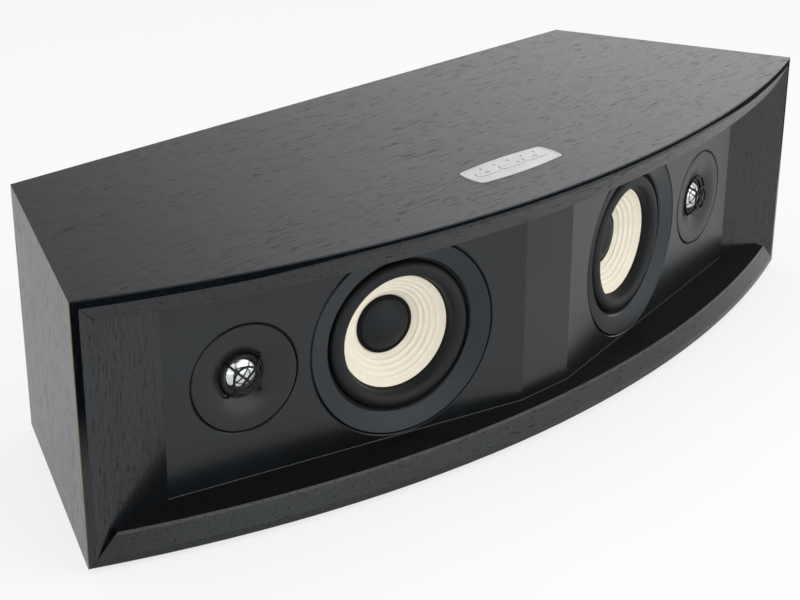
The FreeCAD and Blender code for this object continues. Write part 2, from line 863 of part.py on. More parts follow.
def rocker_bezel():
    lip = rounded(bezel_width + bezel_wall, bezel_height + bezel_wall, bezel_wall / 2, lip_front, bay_front,
                  rocker_x)
    body = block(bezel_width, bezel_height, bay_front, bezel_depth, rocker_x)
    well = block(rocker_width + 2 * slide_gap, 2 * (rocker_radius + slide_gap), lip_front - over,
                 bezel_depth - bezel_wall, rocker_x)
    pin = Part.makeCylinder(rocker_pin + slide_gap, bezel_width + 2 * over,
                            Vector(rocker_x - bezel_width / 2 - over, 0, -rocker_depth), Vector(1, 0, 0))
    return placed(joined([lip, body]).cut([well, pin]), rear_place)


def power_rocker():
    radius = rocker_radius
    rise = math.radians(rocker_edge)
    fall = math.radians(rocker_heel)
    edge = (radius * math.cos(rise), radius * math.sin(rise))
    heel = (radius * math.cos(fall), radius * math.sin(fall))
    dip = edge[1] - edge[0] * math.tan(math.radians(rocker_tilt))
    steps = [(0, dip), edge, (radius, 0, heel[0], -heel[1]), (-heel[0], -heel[1]),
             (-radius, 0, -edge[0], edge[1])]
    half = rocker_width / 2
    body = path_face(steps, lambda y, z: Vector(-half, y, z)).extrude(Vector(rocker_width, 0, 0))
    reach = half + bezel_wall
    pin = Part.makeCylinder(rocker_pin, 2 * reach, Vector(-reach, 0, 0), Vector(1, 0, 0))
    rocker = joined([body, pin]).rotate(Vector(), Vector(1, 0, 0), -rocker_tilt)
    rocker.translate(Vector(rocker_x, 0, -rocker_depth))
    return placed(rocker, rear_place)


def network_socket():
    lip = block(network_width + network_wall, network_height + network_wall, lip_front, bay_front,
                network_x)
    body = block(network_width, network_height, bay_front, board_front, network_x)
    cavity = block(network_width - 2 * network_wall, network_height - 2 * network_wall, lip_front - over,
                   lip_front + network_cavity, network_x)
    return placed(joined([lip, body]).cut(cavity), rear_place)


def phono_sockets():
    sockets = []
    for place in phono_places:
        flange = disc(phono_flange, lip_front, bay_front, *place)
        body = disc(phono_radius, lip_front - phono_length, board_front, *place)
        bore = disc(phono_bore, lip_front - phono_length - over, lip_front, *place)
        sockets.append(placed(joined([flange, body]).cut(bore), rear_place))
    return group(sockets)


def jack_socket():
    nut = disc(jack_radius + socket_lip, lip_front, bay_front, *jack_place)
    body = disc(jack_radius, bay_front, board_front, *jack_place)
    bore = disc(jack_bore, lip_front - over, lip_front + jack_bore_depth, *jack_place)
    return placed(joined([nut, body]).cut(bore), rear_place)


def pairing_button():
    front = lip_front - socket_lip
    end = board_front - switch_height - pair_travel - press_gap
    return placed(disc(pair_radius, front, end, *pair_place), rear_place)


def main_board():
    board_back = board_front + board_thickness
    board = block(main_board_width, main_board_height, board_front, board_back, main_board_x)
    switch = block(switch_size, switch_size, board_front - switch_height, board_front, *pair_place)
    return placed(joined([board, switch]), rear_place)


def heatsink():
    base_front = board_front + board_thickness
    base = block(sink_width, sink_height, base_front, base_front + sink_base, main_board_x)
    pitch = (sink_width - fin_thickness) / (fin_count - 1)
    start = main_board_x - sink_width / 2 + fin_thickness / 2
    root = base_front + sink_base
    tip = base_front + sink_depth
    fins = [block(fin_thickness, sink_height, root, tip, start + pitch * index)
            for index in range(fin_count)]
    return placed(joined([base] + fins), rear_place)


def port_tube():
    bend = port_flare * (1 - math.sqrt(0.5))
    tube = turned([
        (port_rim, 0), (port_rim, port_flange_thickness), (port_collar, port_flange_thickness),
        (port_collar, port_flare), (port_radius + port_wall, 2 * port_flare),
        (port_radius + port_wall, port_length), (port_radius, port_length), (port_radius, port_flare),
        (port_radius + bend, bend, port_mouth, 0),
    ])
    tube.translate(Vector(-port_x, 0, 0))
    return placed(tube, rear_place)


def power_board():
    middle_y = back_y - back_thickness - power_board_gap - power_board_depth / 2
    low = floor_z + power_standoff
    top = low + board_thickness
    board = upright_block(power_board_width, power_board_depth, low, top, 0, middle_y)
    pieces = [board]
    half_width = power_board_width / 2 - standoff_inset
    half_depth = power_board_depth / 2 - standoff_inset
    for sx in (-1, 1):
        for sy in (-1, 1):
            spot = Vector(sx * half_width, middle_y + sy * half_depth, floor_z)
            pieces.append(Part.makeCylinder(standoff_radius, power_standoff, spot))
    pieces.append(upright_block(choke_size, choke_size, top, top + choke_size, -half_width / 2, middle_y))
    for index in range(capacitor_count):
        spot = Vector(capacitor_pitch * index, middle_y, top)
        pieces.append(Part.makeCylinder(capacitor_radius, capacitor_height, spot))
    return joined(pieces)


def rubber_feet():
    feet = []
    for y in (chord_y + foot_inset, back_y - foot_inset):
        for side in (-1, 1):
            spot = Vector(side * side_x(y, foot_inset), y, 0)
            feet.append(Part.makeCone(foot_radius - foot_draft, foot_radius, foot_height, spot))
    return group(feet)


os.makedirs("parts", exist_ok=True)
top, bottom, boards = top_and_bottom()
side, cheek = side_and_cheek(boards)
save("top_panel", top.cut(plate_pocket()))
save("bottom_panel", bottom)
save_pair("side_panel", side)
save_pair("cheek", cheek)
save("back_panel", back_panel())
save("front_baffle", front_baffle())
save("rubber_feet", rubber_feet())

woofer = {"trim_ring": trim_ring, "surround": surround, "cone": cone, "dust_cap": dust_cap,
          "voice_coil": voice_coil, "spider": spider, "basket": basket, "top_plate": top_plate,
          "magnet": magnet, "yoke": yoke}
for name, make in woofer.items():
    save_pair("woofer_" + name, placed(make(), woofer_place))
tweeter = {"faceplate": tweeter_faceplate, "dome": tweeter_dome, "guard": tweeter_guard,
           "motor": tweeter_motor}
for name, make in tweeter.items():
    save_pair("tweeter_" + name, placed(make(), tweeter_place))

save("control_plate", control_plate())
save("control_board", control_board())
save("light_pipes", light_pipes())
for name, x in key_places.items():
    save(name, key(x))

rear = {"rear_plate": rear_plate, "rear_screws": rear_screws, "mains_inlet": mains_inlet,
        "rocker_bezel": rocker_bezel, "power_rocker": power_rocker, "network_socket": network_socket,
        "phono_sockets": phono_sockets, "jack_socket": jack_socket, "pairing_button": pairing_button,
        "main_board": main_board, "heatsink": heatsink, "power_board": power_board}
for name, make in rear.items():
    save(name, make())
save_pair("port_tube", port_tube())
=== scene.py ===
import math

import bpy
from mathutils import Matrix, Vector


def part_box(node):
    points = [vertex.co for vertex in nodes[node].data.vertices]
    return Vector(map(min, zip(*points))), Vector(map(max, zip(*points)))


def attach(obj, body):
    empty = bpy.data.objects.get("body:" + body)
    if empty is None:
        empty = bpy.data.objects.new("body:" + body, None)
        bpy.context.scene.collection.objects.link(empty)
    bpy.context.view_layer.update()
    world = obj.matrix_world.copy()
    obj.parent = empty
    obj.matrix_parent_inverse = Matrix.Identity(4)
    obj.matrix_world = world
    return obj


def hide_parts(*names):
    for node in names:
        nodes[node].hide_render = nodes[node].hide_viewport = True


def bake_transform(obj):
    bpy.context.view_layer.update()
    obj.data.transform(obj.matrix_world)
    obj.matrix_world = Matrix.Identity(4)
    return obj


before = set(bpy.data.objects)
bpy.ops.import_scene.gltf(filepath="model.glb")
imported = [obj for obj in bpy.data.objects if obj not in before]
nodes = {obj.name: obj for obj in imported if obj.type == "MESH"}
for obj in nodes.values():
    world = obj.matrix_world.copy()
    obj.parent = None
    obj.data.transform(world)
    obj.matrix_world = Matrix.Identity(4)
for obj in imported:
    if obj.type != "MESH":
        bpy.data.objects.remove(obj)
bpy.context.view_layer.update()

mm = 0.001
sides = {"left": -1, "right": 1}
facetAngle = math.radians(13.2)  # each driver facet turns outwards by this
print("frame:", len(nodes), "nodes")


class Wire:  # an output socket, so that shader maths reads as plain sums
    def __init__(self, finish, socket):
        self.finish = finish
        self.socket = socket

    def also(self, output):
        return Wire(self.finish, self.socket.node.outputs[output])

    def maths(self, operation, first, second=0.0):
        return self.finish.add("ShaderNodeMath", {"operation": operation}, {0: first, 1: second})

    def __add__(self, other):
        return self.maths("ADD", self, other)

    def __radd__(self, other):
        return self.maths("ADD", other, self)

    def __sub__(self, other):
        return self.maths("SUBTRACT", self, other)

    def __rsub__(self, other):
        return self.maths("SUBTRACT", other, self)

    def __mul__(self, other):
        return self.maths("MULTIPLY", self, other)

    def __rmul__(self, other):
        return self.maths("MULTIPLY", other, self)

    def __abs__(self):
        return self.maths("ABSOLUTE", self)


class Finish:  # the nodes of one material, or of the world
    def __init__(self, owner):
        owner.use_nodes = True
        self.owner = owner
        self.tree = owner.node_tree
        self.tree.nodes.clear()

    def add(self, kind, settings=None, sockets=None, out=0):
        node = self.tree.nodes.new(kind)
        for key, value in (settings or {}).items():
            setattr(node, key, value)
        for key, value in (sockets or {}).items():
            if isinstance(value, Wire):
                self.tree.links.new(value.socket, node.inputs[key])
            else:
                node.inputs[key].default_value = value
        return Wire(self, node.outputs[out]) if node.outputs else None

    def vectors(self, operation, first, second=(0, 0, 0), out="Vector"):
        return self.add("ShaderNodeVectorMath", {"operation": operation}, {0: first, 1: second}, out)

    def length(self, vector):
        return self.vectors("LENGTH", vector, out="Value")

    def joined(self, x, y, z=0.0):
        return self.add("ShaderNodeCombineXYZ", {}, {0: x, 1: y, 2: z})

    def split(self, vector):
        first = self.add("ShaderNodeSeparateXYZ", {}, {0: vector})
        return first, first.also(1), first.also(2)

    def spot(self):  # where on the object, in metres
        return self.add("ShaderNodeTexCoord", out="Object")

    def stretched(self, vector, cell):  # one unit is one cell, given in metres
        return self.vectors("MULTIPLY", vector, [1 / side for side in cell])

    def noise(self, vector, scale=1.0, detail=2.0, roughness=0.5):
        return self.add("ShaderNodeTexNoise", {},
                        {"Vector": vector, "Scale": scale, "Detail": detail, "Roughness": roughness})

    def cells(self, vector, distance="EUCLIDEAN", scatter=1.0):
        return self.add("ShaderNodeTexVoronoi", {"distance": distance},
                        {"Vector": vector, "Scale": 1.0, "Randomness": scatter})

    def between(self, value, low, high):  # eases from 0 at low to 1 at high
        return self.add("ShaderNodeMapRange", {"interpolation_type": "SMOOTHSTEP"},
                        {"Value": value, "From Min": low, "From Max": high})

    def tint(self, factor, first, second):
        return self.add("ShaderNodeMix", {"data_type": "RGBA"}, {0: factor, 6: first, 7: second}, 2)

    def mottled(self, look, first, second):  # two noises share out a look's two colours
        noise = look["share"] * first + (1 - look["share"]) * second
        return self.tint(self.between(noise, *look["ease"]), look["colour"], look["other"])

    def bump(self, height, distance):
        return self.add("ShaderNodeBump", {}, {"Height": height, "Distance": distance})

    def surface(self, **sockets):
        named = {key.replace("_", " "): value for key, value in sockets.items()}
        return self.add("ShaderNodeBsdfPrincipled", {}, named)

    def mixed(self, factor, first, second):
        return self.add("ShaderNodeMixShader", {}, {0: factor, 1: first, 2: second})

    def done(self, surface):
        kind = "World" if isinstance(self.owner, bpy.types.World) else "Material"
        self.add("ShaderNodeOutput" + kind, {}, {"Surface": surface})
        return self.owner


def newFinish(name):
    return Finish(bpy.data.materials.new(name))


def grey(value, warm=0.0):  # a neutral colour, a little warmer or cooler
    return (value * (1 + warm), value, value * (1 - warm), 1)


# camera at the photograph's place
shot = {"place": (-0.7071, -0.7060, 0.4978), "around": -45.31, "above": 24.21, "roll": 0.79,
        "lens": 83.76, "sensor": 36, "shiftX": -0.0536, "shiftY": -0.0055, "near": 0.01}


def addCamera(settings):
    around, above, roll = (math.radians(settings[key]) for key in ("around", "above", "roll"))
    level = Vector((math.sin(around), -math.cos(around), 0))
    back = math.cos(above) * level + math.sin(above) * Vector((0, 0, 1))
    aside = (-back).cross(Vector((0, 0, 1))).normalized()
    upright = aside.cross(-back)
    right = math.cos(roll) * aside + math.sin(roll) * upright
    up = math.cos(roll) * upright - math.sin(roll) * aside
    data = bpy.data.cameras.new("photoCamera")
    data.lens = settings["lens"]
    data.sensor_width = settings["sensor"]
    data.shift_x = settings["shiftX"]
    data.shift_y = settings["shiftY"]
    data.clip_start = settings["near"]
    camera = bpy.data.objects.new("photoCamera", data)
    bpy.context.collection.objects.link(camera)
    turn = Matrix((right, up, back)).transposed().to_4x4()
    camera.matrix_world = Matrix.Translation(settings["place"]) @ turn
    bpy.context.scene.camera = camera


addCamera(shot)
bpy.context.scene.view_settings.view_transform = "Standard"
print("camera set")

# studio: a pale floor, softboxes and a soft surround, brightest to the right behind the object
floorLook = {"reach": 40.0, "paper": grey(0.97), "white": grey(1.0), "glow": 0.75}
surround = {"colour": (0.97, 0.985, 1.0, 1), "front": 0.05, "back": 0.32, "behind": (-0.30, 0.35),
            "bright": 2.10, "facing": (0.966, 0.259, 0.0), "ease": (0.66, 0.95),
            "above": (0.62, 0.30), "horizon": 0.60, "low": (0.20, 0.03)}
softboxes = {
    "overhead": {"place": (0.10, 0.20, 1.70), "aim": (0.0, 0.0, 0.0), "size": (2.6, 2.0),
                 "power": 16},
    "frontKey": {"place": (0.60, -1.70, 0.90), "aim": (0.0, -0.05, 0.06), "size": (3.0, 1.9),
                 "power": 32},
    "leftFill": {"place": (-1.75, -0.60, 0.90), "aim": (0.0, -0.05, 0.06), "size": (2.6, 1.9),
                 "power": 19},
}


def addFloor(look):
    f = newFinish("paleFloor")
    paper = f.add("ShaderNodeBsdfDiffuse", {}, {"Color": look["paper"]})
    glow = f.add("ShaderNodeEmission", {}, {"Color": look["white"], "Strength": 1.0})
    rays = f.add("ShaderNodeLightPath", out="Is Camera Ray")
    seen = rays + rays.also("Is Glossy Ray") + rays.also("Is Transmission Ray")
    reach = look["reach"]
    corners = [(-reach, -reach, 0), (reach, -reach, 0), (reach, reach, 0), (-reach, reach, 0)]
    mesh = bpy.data.meshes.new("studioFloor")
    mesh.from_pydata(corners, [], [(0, 1, 2, 3)])
    mesh.materials.append(f.done(f.mixed(seen * look["glow"], paper, glow)))
    floor = bpy.data.objects.new("studioFloor", mesh)
    bpy.context.collection.objects.link(floor)


def addSurround(look):
    world = bpy.data.worlds.new("studioSurround")
    bpy.context.scene.world = world
    f = Finish(world)
    towards = f.add("ShaderNodeTexCoord", out="Generated")
    _, y, z = f.split(towards)
    facing = f.vectors("DOT_PRODUCT", towards, look["facing"], "Value")
    window = f.between(facing, *look["ease"]) * f.between(z, *look["above"])
    rest = look["front"] + (look["back"] - look["front"]) * f.between(y, *look["behind"])
    level = rest + window * (look["bright"] - look["back"])
    level = level + look["horizon"] * f.between(z, *look["low"])
    f.done(f.add("ShaderNodeBackground", {}, {"Color": look["colour"], "Strength": level}))


def addSoftbox(name, box):
    data = bpy.data.lights.new(name, "AREA")
    data.shape = "RECTANGLE"
    data.size, data.size_y = box["size"]
    data.energy = box["power"]
    lamp = bpy.data.objects.new(name, data)
    bpy.context.collection.objects.link(lamp)
    lamp.location = box["place"]
    towards = Vector(box["aim"]) - Vector(box["place"])
    lamp.rotation_euler = towards.to_track_quat("-Z", "Y").to_euler()


addFloor(floorLook)
addSurround(surround)
for name, box in softboxes.items():
    addSoftbox(name, box)
print("studio set")

coolGloss = (0.84, 0.93, 1.0, 1)  # mouldings mirror a little cool
faintGloss = (0.92, 0.965, 1.0, 1)

# open-pored veneer, stained black; cells are along and across the grain
veneerLook = {
    "film": grey(0.0018, -0.40), "streak": grey(0.0048, -0.30), "shade": (0.45, 1.05),
    "shadeFigure": 0.5, "drift": (7.0, 1.0), "wander": 1.6 * mm, "figureCell": (260 * mm, 16 * mm),
    "streakCell": (90 * mm, 0.7 * mm), "streakNoise": (1.0, 4.0, 0.6), "streakRise": 0.25,
    "rowCell": (70 * mm, 2.0 * mm), "row": (0.38, 0.58), "rowShare": 0.7,
    "pore": grey(0.008), "poreCell": (13 * mm, 0.55 * mm), "poreEdge": (0.60, 0.64),
    "poreCover": 0.95, "poreRough": 0.8, "poreLevel": 0.10,
    "fineCell": (7.0 * mm, 0.28 * mm), "fineEdge": (0.56, 0.70), "fineCover": 0.12, "fineSink": 0.4,
    "rough": 0.26, "roughStreak": 0.10, "depth": 0.022 * mm, "gloss": faintGloss,
    "core": (0.16, 0.115, 0.05, 1), "wearAndHighlight": grey(0.030), "hair": (0.55 * mm, 0.30 * mm),
    "hairCover": 0.85,
}
cabinet = {"topZ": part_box("top_panel")[1][2], "frontHalf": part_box("right_side_panel")[1][0],
           "chordY": -43.95 * mm, "floorZ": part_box("front_baffle")[0][2], "axisY": 599.05 * mm,
           "lipRadius": 697.9 * mm}


def grainCell(axis, cell):  # a cell's length lies along the grain
    return [cell[0] if index == axis else cell[1] for index in range(3)]


def blackVeneer(name, axis, hairline=None, hairColour=None, dull=None, polish=0.0, pitch=1.0):
    look = veneerLook
    f = newFinish(name)
    spot = f.spot()
    drift = f.noise(spot, *look["drift"]).also("Color")
    grain = f.vectors("ADD", spot, f.vectors("MULTIPLY", drift, [look["wander"]] * 3))

    def along(cell, detail=1.0):
        return f.noise(f.stretched(grain, grainCell(axis, look[cell])), 1 / pitch, detail)

    figure = along("figureCell", detail=2.0)
    rows = look["rowShare"] * along("rowCell") + (1 - look["rowShare"]) * figure
    pores = f.between(along("poreCell"), *look["poreEdge"]) * f.between(rows, *look["row"])
    fine = f.between(along("fineCell"), *look["fineEdge"])
    streaks = f.noise(f.stretched(grain, grainCell(axis, look["streakCell"])), *look["streakNoise"])
    shade = f.between(streaks + look["shadeFigure"] * figure, *look["shade"])
    colour = f.tint(shade, look["film"], look["streak"])
    if hairline:
        colour = f.tint(hairline(f, spot), colour, hairColour)
    normal = f.bump(look["streakRise"] * streaks - pores - look["fineSink"] * fine, look["depth"])
    uneven = look["roughStreak"] * streaks
    film = f.surface(Base_Color=colour, Roughness=look["rough"] - polish + uneven, Normal=normal,
                     Specular_Tint=look["gloss"])
    # the dull film is painted shade on the front edges and a duller finish inside the recess
    if dull:
        matt = f.surface(Base_Color=colour, Roughness=dull["rough"] + uneven, Normal=normal,
                         Specular_Tint=look["gloss"], Specular_IOR_Level=dull["level"])
        film = f.mixed(dull["mask"](f, spot), film, matt)
    hollow = f.surface(Base_Color=look["pore"], Roughness=look["poreRough"],
                       Specular_IOR_Level=look["poreLevel"], Normal=normal)
    bare = look["poreCover"] * pores + look["fineCover"] * fine * (1 - pores)
    return f.done(f.mixed(bare, film, hollow))


def bowReach(f, spot):  # distance from the axis that the front is bowed about
    x, y, _ = f.split(spot)
    return f.length(f.joined(x, y - cabinet["axisY"]))


def sideHairline(f, spot):  # the veneer's pale core shows in a hair line at the corners
    x, y, z = f.split(spot)
    corner = f.length(f.joined(abs(x) - cabinet["frontHalf"], y - cabinet["chordY"]))
    front = f.between(corner, *veneerLook["hair"])
    top = f.between(cabinet["topZ"] - z, *veneerLook["hair"])
    return veneerLook["hairCover"] * front.maths("MAXIMUM", front, top)


def lipHighlightLine(f, spot):  # painted highlight: a pale line where the recess floor meets the lip, standing in for light caught on its edge
    return f.between(abs(bowReach(f, spot) - cabinet["lipRadius"]), *veneerLook["hair"])


# where the film is dull: front edges, where the dull film is painted shade standing in for a dark
# reflection, and the recess floor
dullLook = {"forward": (-0.70, -0.85), "upright": (0.30, 0.10), "sideRise": (50 * mm, 95 * mm),
            "topLine": (2.8 * mm, 1.8 * mm), "flare": 4.5 * mm, "flareReach": (120 * mm, 275 * mm),
            "insideLip": (0.1 * mm, -0.4 * mm)}


def facingFront(f):
    _, forward, upward = f.split(f.add("ShaderNodeNewGeometry", out="Normal"))
    return f.between(forward, *dullLook["forward"]) * f.between(abs(upward), *dullLook["upright"])


def sideLandShade(f, spot):  # narrow front edge of a side board, dulled as painted shade (a painted dark reflection), blackest at its top
    _, _, z = f.split(spot)
    return facingFront(f) * f.between(z, *dullLook["sideRise"])


def topLandShade(f, spot):  # black line along the front edge, painted shade standing in for a dark reflection, wider towards the corners
    x, _, z = f.split(spot)
    below = cabinet["topZ"] - z - dullLook["flare"] * f.between(abs(x), *dullLook["flareReach"])
    return facingFront(f) * f.between(below, *dullLook["topLine"])


def recessFloor(f, spot):  # inside the lip, where the film isn't polished
    return f.between(bowReach(f, spot) - cabinet["lipRadius"], *dullLook["insideLip"])


# painted shade: the front-edge bands dull the film to black in place of a dark reflection
sideShadeBand = {"mask": sideLandShade, "rough": 0.60, "level": 0.01}
topShadeBand = {"mask": topLandShade, "rough": 0.60, "level": 0.01}
mattRecess = {"mask": recessFloor, "rough": 0.42, "level": 0.22}
veneerCuts = {
    "blackVeneerTop": {"axis": 0, "dull": topShadeBand, "pitch": 0.75},
    # the base's pale hair line along the lip is a painted highlight
    "blackVeneerBase": {"axis": 0, "hairline": lipHighlightLine, "hairColour": veneerLook["wearAndHighlight"],
                        "dull": mattRecess, "pitch": 0.75},
    "blackVeneerCheek": {"axis": 2, "polish": 0.13, "pitch": 0.5},
    "blackVeneerSide": {"axis": 2, "hairline": sideHairline, "hairColour": veneerLook["core"],
                        "dull": sideShadeBand, "pitch": 0.6},
}

# painted baffle, with a pale line where it meets the floor: a painted highlight of light caught on its
# edge
paintLook = {"colour": grey(0.0020, -0.45), "wearAndHighlight": grey(0.0042, -0.35), "cloud": (22.0, 3.0),
             "shade": (0.35, 0.75), "grain": 900.0, "peel": 0.010 * mm, "rough": 0.21,
             "roughCloud": 0.10, "roughPeel": 0.04, "jointHighlight": grey(0.11),
             "highlightHeight": (0.50 * mm, 0.25 * mm), "gloss": faintGloss}


def satinPaint(name, look):
    f = newFinish(name)
    spot = f.spot()
    cloud = f.noise(spot, *look["cloud"])
    peel = f.noise(spot, look["grain"])
    colour = f.tint(f.between(cloud, *look["shade"]), look["colour"], look["wearAndHighlight"])
    _, _, z = f.split(spot)
    # painted highlight: a pale band along the baffle's foot
    colour = f.tint(f.between(z - cabinet["floorZ"], *look["highlightHeight"]), colour, look["jointHighlight"])
    rough = look["rough"] + look["roughCloud"] * cloud + look["roughPeel"] * peel
    return f.done(f.surface(Base_Color=colour, Roughness=rough, Normal=f.bump(peel, look["peel"]),
                            Specular_Tint=look["gloss"]))


backLook = {"colour": grey(0.006), "high": grey(0.011), "shade": (0.2, 0.75), "grain": 1.3 * mm,
            "pebble": (0.25, 0.8), "dust": 1400.0, "dustRise": 0.2, "depth": 0.10 * mm,
            "cloud": (14.0, 3.0), "rough": 0.46, "roughCloud": 0.12}


def grainedBoard(name, look):  # fine leather-like grain of a wrapped back board
    f = newFinish(name)
    spot = f.spot()
    skin = f.cells(f.stretched(spot, [look["grain"]] * 3))
    cloud = f.noise(spot, *look["cloud"])
    colour = f.tint(f.between(skin, *look["shade"]), look["high"], look["colour"])
    height = 1 - f.between(skin, *look["pebble"]) + look["dustRise"] * f.noise(spot, look["dust"])
    return f.done(f.surface(Base_Color=colour, Roughness=look["rough"] + look["roughCloud"] * cloud,
                            Normal=f.bump(height, look["depth"])))


# moulded plastics, rubbers and inks
mouldShade = {"cloud": (40.0, 3.0), "share": 0.6, "ease": (0.35, 0.68), "roughCloud": 0.10,
              "roughSpark": 0.05, "gloss": grey(1.0), "level": 0.5}
mouldLooks = {
    "trimBlack": {"colour": grey(0.0030, -0.30), "other": grey(0.0050, -0.25), "rough": 0.32,
                  "grain": 2600.0, "depth": 0.008 * mm, "gloss": coolGloss},
    "faceBlack": {"colour": grey(0.0030, -0.15), "other": grey(0.0046, -0.12), "rough": 0.30,
                  "grain": 2600.0, "depth": 0.008 * mm, "gloss": faintGloss, "level": 0.46},
    "rearBlack": {"colour": grey(0.008), "other": grey(0.012), "rough": 0.46, "grain": 1700.0,
                  "depth": 0.03 * mm},
    "socketBlack": {"colour": grey(0.007), "other": grey(0.011), "rough": 0.34, "grain": 2200.0,
                    "depth": 0.012 * mm},
    "footRubber": {"colour": grey(0.010), "other": grey(0.016, 0.04), "rough": 0.70,
                   "grain": 1200.0, "depth": 0.04 * mm},
    "guardBlack": {"colour": grey(0.0015, -0.04), "other": grey(0.0030, -0.04), "rough": 0.40,
                   "grain": 2400.0, "depth": 0.010 * mm, "level": 0.30},
    "portBlack": {"colour": grey(0.006), "other": grey(0.010), "rough": 0.42, "grain": 2000.0,
                  "depth": 0.015 * mm},
    "lightPipe": {"colour": (0.62, 0.64, 0.66, 1), "other": (0.72, 0.73, 0.74, 1), "rough": 0.28,
                  "grain": 1900.0, "depth": 0.006 * mm},
    "ferrite": {"colour": grey(0.030), "other": grey(0.052), "rough": 0.66, "grain": 800.0,
                "depth": 0.08 * mm},
    "markInk": {"colour": grey(0.020), "other": grey(0.034), "rough": 0.55, "grain": 3000.0,
                "depth": 0.004 * mm},
    "paleInk": {"colour": grey(0.52), "other": grey(0.62), "rough": 0.55, "grain": 3000.0,
                "depth": 0.004 * mm},
    "whiteInsert": {"colour": (0.72, 0.71, 0.68, 1), "other": (0.80, 0.79, 0.77, 1), "rough": 0.35,
                    "grain": 1800.0, "depth": 0.006 * mm},
    "redInsert": {"colour": (0.42, 0.018, 0.016, 1), "other": (0.52, 0.03, 0.024, 1), "rough": 0.35,
                  "grain": 1800.0, "depth": 0.006 * mm},
}
plating = {"bright": (0.56, 0.555, 0.54, 1), "dim": grey(0.38), "rough": 0.26, "roughCloud": 0.12,
           "pinSpread": 4.3 * mm, "pin": (1.5 * mm, 1.3 * mm), "nut": (1.05 * mm, 0.95 * mm)}


def mouldedPlastic(name, look, plated=None):
    look = mouldShade | look
    f = newFinish(name)
    spot = f.spot()
    cloud = f.noise(spot, *look["cloud"])
    spark = f.noise(spot, look["grain"])
    rough = look["rough"] + look["roughCloud"] * (cloud - 0.5) + look["roughSpark"] * spark
    body = f.surface(Base_Color=f.mottled(look, cloud, spark), Roughness=rough,
                     Normal=f.bump(spark, look["depth"]), Specular_Tint=look["gloss"],
                     Specular_IOR_Level=look["level"])
    if plated:  # metal that shows in some sockets
        metal = f.surface(Base_Color=f.tint(cloud, plating["bright"], plating["dim"]), Metallic=1.0,
                          Roughness=plating["rough"] + plating["roughCloud"] * cloud)
        body = f.mixed(plated(f, spot), body, metal)
    return f.done(body)


def middle(node):
    low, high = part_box(node)
    return [(a + b) / 2 for a, b in zip(low, high)]


def inletPins(f, spot):
    x, _, z = f.split(spot)
    centre = middle("mains_inlet")
    beside = abs(abs(x - centre[0]) - plating["pinSpread"])
    return f.between(beside, *plating["pin"]) * f.between(abs(z - centre[2]), *plating["pin"])


def jackNut(f, spot):
    _, y, _ = f.split(spot)
    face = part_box("jack_socket")[1][1]
    return f.between(y, *[face - depth for depth in plating["nut"]])


# metals, some with a lay that stretches the grain
metalShade = {"cloud": (60.0, 3.0), "share": 0.7, "ease": (0.35, 0.68), "lay": (1, 1, 1),
              "lines": (1.0, 3.0), "roughLines": 0.14, "roughCloud": 0.08,
              "glue": (grey(0.004), grey(0.009)), "glueRough": 0.5, "glueCloud": 0.2}
metalLooks = {
    "domeMetal": {"colour": (0.66, 0.68, 0.69, 1), "other": (0.56, 0.58, 0.59, 1), "rough": 0.18,
                  "line": 1.5 * mm, "depth": 0.002 * mm, "node": "tweeter_dome",
                  "edge": (9.05 * mm, 9.25 * mm)},
    "controlSilver": {"colour": (0.69, 0.692, 0.697, 1), "other": (0.59, 0.592, 0.597, 1),
                      "rough": 0.42, "lay": (60, 1, 1), "line": 0.22 * mm, "depth": 0.006 * mm},
    "driverSteel": {"colour": grey(0.045), "other": grey(0.075), "rough": 0.42, "line": 0.6 * mm,
                    "depth": 0.02 * mm},
    "motorSteel": {"colour": (0.60, 0.60, 0.58, 1), "other": (0.46, 0.47, 0.47, 1), "rough": 0.32,
                   "line": 2.4 * mm, "depth": 0.01 * mm},
    "socketMetal": {"colour": (0.70, 0.69, 0.66, 1), "other": (0.55, 0.54, 0.52, 1), "rough": 0.24,
                    "line": 0.9 * mm, "depth": 0.006 * mm},
    "sinkMetal": {"colour": (0.62, 0.63, 0.64, 1), "other": (0.50, 0.51, 0.52, 1), "rough": 0.38,
                  "lay": (1, 1, 40), "line": 0.4 * mm, "depth": 0.015 * mm},
    "screwBlack": {"colour": grey(0.10), "other": grey(0.16), "rough": 0.36, "line": 0.5 * mm,
                   "depth": 0.01 * mm},
    "contactGold": {"colour": (0.90, 0.66, 0.26, 1), "other": (0.78, 0.55, 0.20, 1), "rough": 0.26,
                    "line": 0.8 * mm, "depth": 0.004 * mm},
    "coilCopper": {"colour": (0.72, 0.34, 0.18, 1), "other": (0.52, 0.22, 0.10, 1), "rough": 0.30,
                   "line": 0.35 * mm, "depth": 0.02 * mm},
}


def driverPlace(side, node, depth=0.0):  # a driver's middle, moved forward, with its facet's axes
    out = Vector((sides[side] * math.sin(facetAngle), -math.cos(facetAngle), 0))
    across = Vector((math.cos(facetAngle), sides[side] * math.sin(facetAngle), 0))
    centre = Vector(middle(side + "_" + node))
    return {"centre": centre + out * depth, "out": out, "across": across, "up": Vector((0, 0, 1))}


def nodeHalf(node):  # half of a flat ring's thickness along its axis
    low, high = (Vector(corner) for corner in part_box(node))
    tall = (high - low)[2]
    return ((high - low)[1] - tall * math.sin(facetAngle)) / 2 / math.cos(facetAngle)


def fromAxis(f, spot, node):  # distance from a driver's axis, the right one mirrored on to the left
    place = driverPlace("left", node)
    x, y, z = f.split(spot)
    reach = f.vectors("SUBTRACT", f.joined(-1.0 * abs(x), y, z), place["centre"])
    return f.length(f.vectors("CROSS_PRODUCT", reach, place["out"]))


